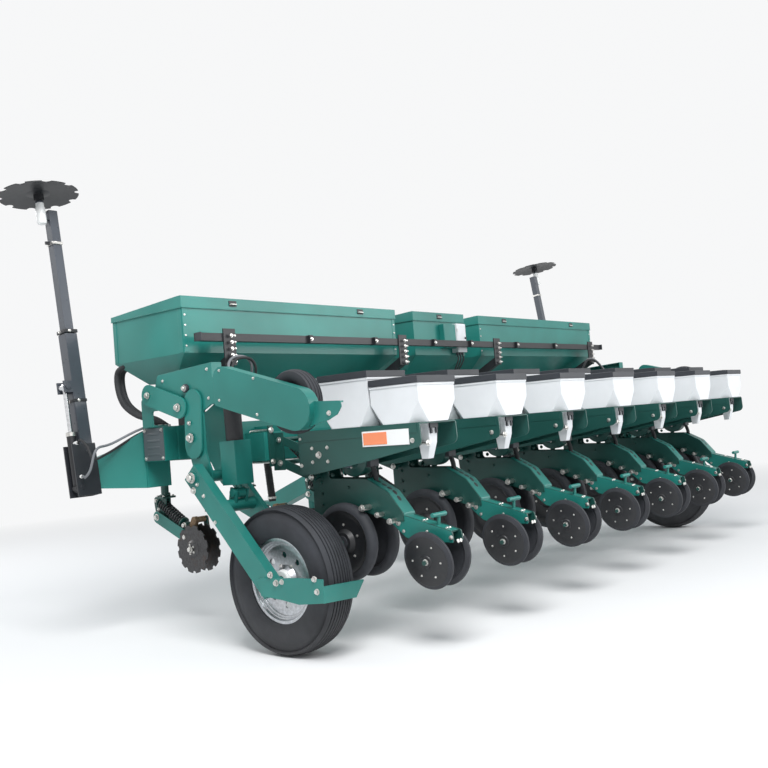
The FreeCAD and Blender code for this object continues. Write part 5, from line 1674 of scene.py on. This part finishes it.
# Hose loops at the ends of the machine, each from a fitting down to the toolbar or its valve block.
pipework = {
    "boxLoop": ((2.45, 0.300, 1.640), (2.45, 0.392, 1.600), (2.45, 0.400, 1.500), (2.45, 0.350, 1.400),
                (2.44, 0.242, 1.328), (2.42, 0.120, 1.290), (2.40, 0.050, 1.247)),
    "boxWire": 0.018,
    "boxShifts": (0.0, 0.046),
    "caseLoop": ((2.335, -0.520, 1.470), (2.290, -0.470, 1.570), (2.220, -0.450, 1.612),
                 (2.120, -0.440, 1.606), (2.070, -0.420, 1.540), (2.050, -0.330, 1.400),
                 (2.040, -0.160, 1.310), (2.030, -0.070, 1.280), (2.030, -0.066, 1.262)),
    "caseWire": 0.0085,
    "caseShifts": ((0.0, clearHose), (0.022, hoseSkin)),
    "foot": (0.025, 0.016),                 # radius and height of a box hose's foot
    "nutRadius": 0.0125,
    "block": ((1.950, -0.100), (2.060, -0.034)),
    "blockHeight": 0.030,
}


def makePipework():
    shape = Shape("pipework", "frame", "black_hose")
    (x0, y0), (x1, y1) = pipework["block"]
    footRadius, footTall = pipework["foot"]
    nut = pipework["nutRadius"]
    for s in (-1, 1):
        for shift in pipework["boxShifts"]:
            loop = smooth([(s * (x - shift), y + shift * 0.3, z) for x, y, z in pipework["boxLoop"]])
            shape.hose(loop, pipework["boxWire"], hoseSkin, 12)
            end = loop[-1]
            shape.rod((end.x, end.y, barTop - 0.001), (end.x, end.y, barTop + footTall), footRadius, zinc, 20)
        for shift, skin in pipework["caseShifts"]:
            path = [(s * (x - shift), y - shift * 0.4, z - shift * 0.4) for x, y, z in pipework["caseLoop"]]
            loop = smooth(path)
            shape.hose(loop, pipework["caseWire"], skin, 9)
            end = loop[-1]
            shape.rod((end.x, end.y, end.z - 0.004), (end.x, end.y, end.z + 0.020), nut, zinc, 6)
            shape.rod(loop[0], loop[0] + Vector((s * 0.012, 0, 0)), nut, zinc, 6)
        inner, outer = sorted((s * x0, s * x1))
        shape.block((inner, y0, barTop - 0.001), (outer, y1, barTop + pipework["blockHeight"]), gunmetal)
    shape.finish()


makePipework()
makeEnds()
makeArms()
makeCases()
makeMarkers()
makeRail()
makeBoxes()
makeControl()
makeFeedHoses()
makeOpeners()
makeDrawbar()
print("ends, boxes and openers dressed")


# Camera, floor and lights.
studio = {
    "eye": (-5.828, -4.577, 1.146),
    "azimuth": 50.106,     # degrees from the way of travel towards the machine's right
    "rise": 2.516,
    "roll": 4.583,
    "focal": 43.6494,      # millimetres, on a sensor 36 wide
    "floor": (0.86, 0.865, 0.87, 1),
    "backdrop": (0.93, 0.935, 0.94, 1),
    "floorReach": 11.0,
    "fade": (0.30, 0.95),  # shares of that reach where the floor starts and ends its fade
    "sky": (0.90, 0.95, 1.0, 1),
    "skyStrength": 0.46,
    # Each lamp's energy, size, place and the point that it looks at.
    "keyLight": (560.0, 4.0, (-5.0, -4.5, 6.5), (0, -0.4, 1.0)),
    "fillLight": (260.0, 5.0, (4.5, -7.0, 3.5), (0, -0.4, 1.0)),
    "rimLight": (240.0, 4.0, (-3.0, 7.0, 5.0), (0, 0, 1.2)),
}


def makeCamera():
    data = bpy.data.cameras.new("view")
    data.sensor_width = 36
    data.lens = studio["focal"]
    camera = bpy.data.objects.new("view", data)
    bpy.context.collection.objects.link(camera)
    azimuth, rise, roll = (math.radians(studio[key]) for key in ("azimuth", "rise", "roll"))
    ahead = Vector((math.sin(azimuth) * math.cos(rise), math.cos(azimuth) * math.cos(rise), math.sin(rise)))
    right = ahead.cross(Vector((0, 0, 1))).normalized()
    up = right.cross(ahead)
    turnedRight = right * math.cos(roll) - up * math.sin(roll)
    turnedUp = right * math.sin(roll) + up * math.cos(roll)
    turn = Matrix((turnedRight, turnedUp, -ahead)).transposed()
    camera.matrix_world = Matrix.Translation(studio["eye"]) @ turn.to_4x4()
    bpy.context.scene.camera = camera


# 1 where the viewer sees the backdrop, straight on, mirrored or through clear plastic.
def shownRays(tree):
    path = tree.nodes.new("ShaderNodeLightPath")
    direct, mirrored, through = (Wire(tree, path.outputs[name]) for name in
                                 ("Is Camera Ray", "Is Glossy Ray", "Is Transmission Ray"))
    return direct.maths("MAXIMUM", direct, direct.maths("MAXIMUM", mirrored, through))


# The floor takes the shadow near the machine and fades into the backdrop far from it.
def makeFloor():
    size = 60.0
    mesh = bpy.data.meshes.new("studioFloor")
    corners = [(-size, -size, 0), (size, -size, 0), (size, size, 0), (-size, size, 0)]
    mesh.from_pydata(corners, [], [(0, 1, 2, 3)])
    floor = bpy.data.objects.new("studioFloor", mesh)
    bpy.context.collection.objects.link(floor)
    finish = Finish("floorFinish")
    floor.data.materials.append(finish.shade(studio["floor"], 0.9))
    distance = finish.node("ShaderNodeVectorMath", {"operation": "LENGTH"}, {0: finish.place}, "Value")
    stops = list(zip(studio["fade"], (0, 1)))
    fade = finish.ramp(distance * (1 / studio["floorReach"]), stops) * shownRays(finish.tree)
    glow = finish.node("ShaderNodeEmission", {}, {"Color": studio["backdrop"]})
    surface = next(node for node in finish.tree.nodes if node.type == "BSDF_PRINCIPLED")
    end = next(node for node in finish.tree.nodes if node.type == "OUTPUT_MATERIAL")
    lit = Wire(finish.tree, surface.outputs[0])
    both = finish.node("ShaderNodeMixShader", {}, {0: fade, 1: lit, 2: glow})
    finish.tree.links.new(both.socket, end.inputs[0])


def makeLight(name):
    energy, size, place, aim = studio[name]
    data = bpy.data.lights.new(name, "AREA")
    data.energy = energy
    data.shape = "DISK"
    data.size = size
    lamp = bpy.data.objects.new(name, data)
    bpy.context.collection.objects.link(lamp)
    lamp.location = place
    lamp.rotation_mode = "QUATERNION"
    lamp.rotation_quaternion = (Vector(aim) - Vector(place)).to_track_quat("-Z", "Y")


def makeWorld():
    world = bpy.data.worlds.new("studioSky")
    bpy.context.scene.world = world
    world.use_nodes = True
    tree = world.node_tree
    tree.nodes.clear()
    end = tree.nodes.new("ShaderNodeOutputWorld")
    soft = tree.nodes.new("ShaderNodeBackground")
    soft.inputs["Color"].default_value = studio["sky"]
    soft.inputs["Strength"].default_value = studio["skyStrength"]
    pale = tree.nodes.new("ShaderNodeBackground")
    pale.inputs["Color"].default_value = studio["backdrop"]
    pale.inputs["Strength"].default_value = 1.0
    both = tree.nodes.new("ShaderNodeMixShader")
    tree.links.new(shownRays(tree).socket, both.inputs[0])
    tree.links.new(soft.outputs[0], both.inputs[1])
    tree.links.new(pale.outputs[0], both.inputs[2])
    tree.links.new(both.outputs[0], end.inputs[0])


bpy.context.scene.view_settings.view_transform = "Standard"
makeCamera()
makeFloor()
makeWorld()
for lamp in ("keyLight", "fillLight", "rimLight"):
    makeLight(lamp)
print("studio set")
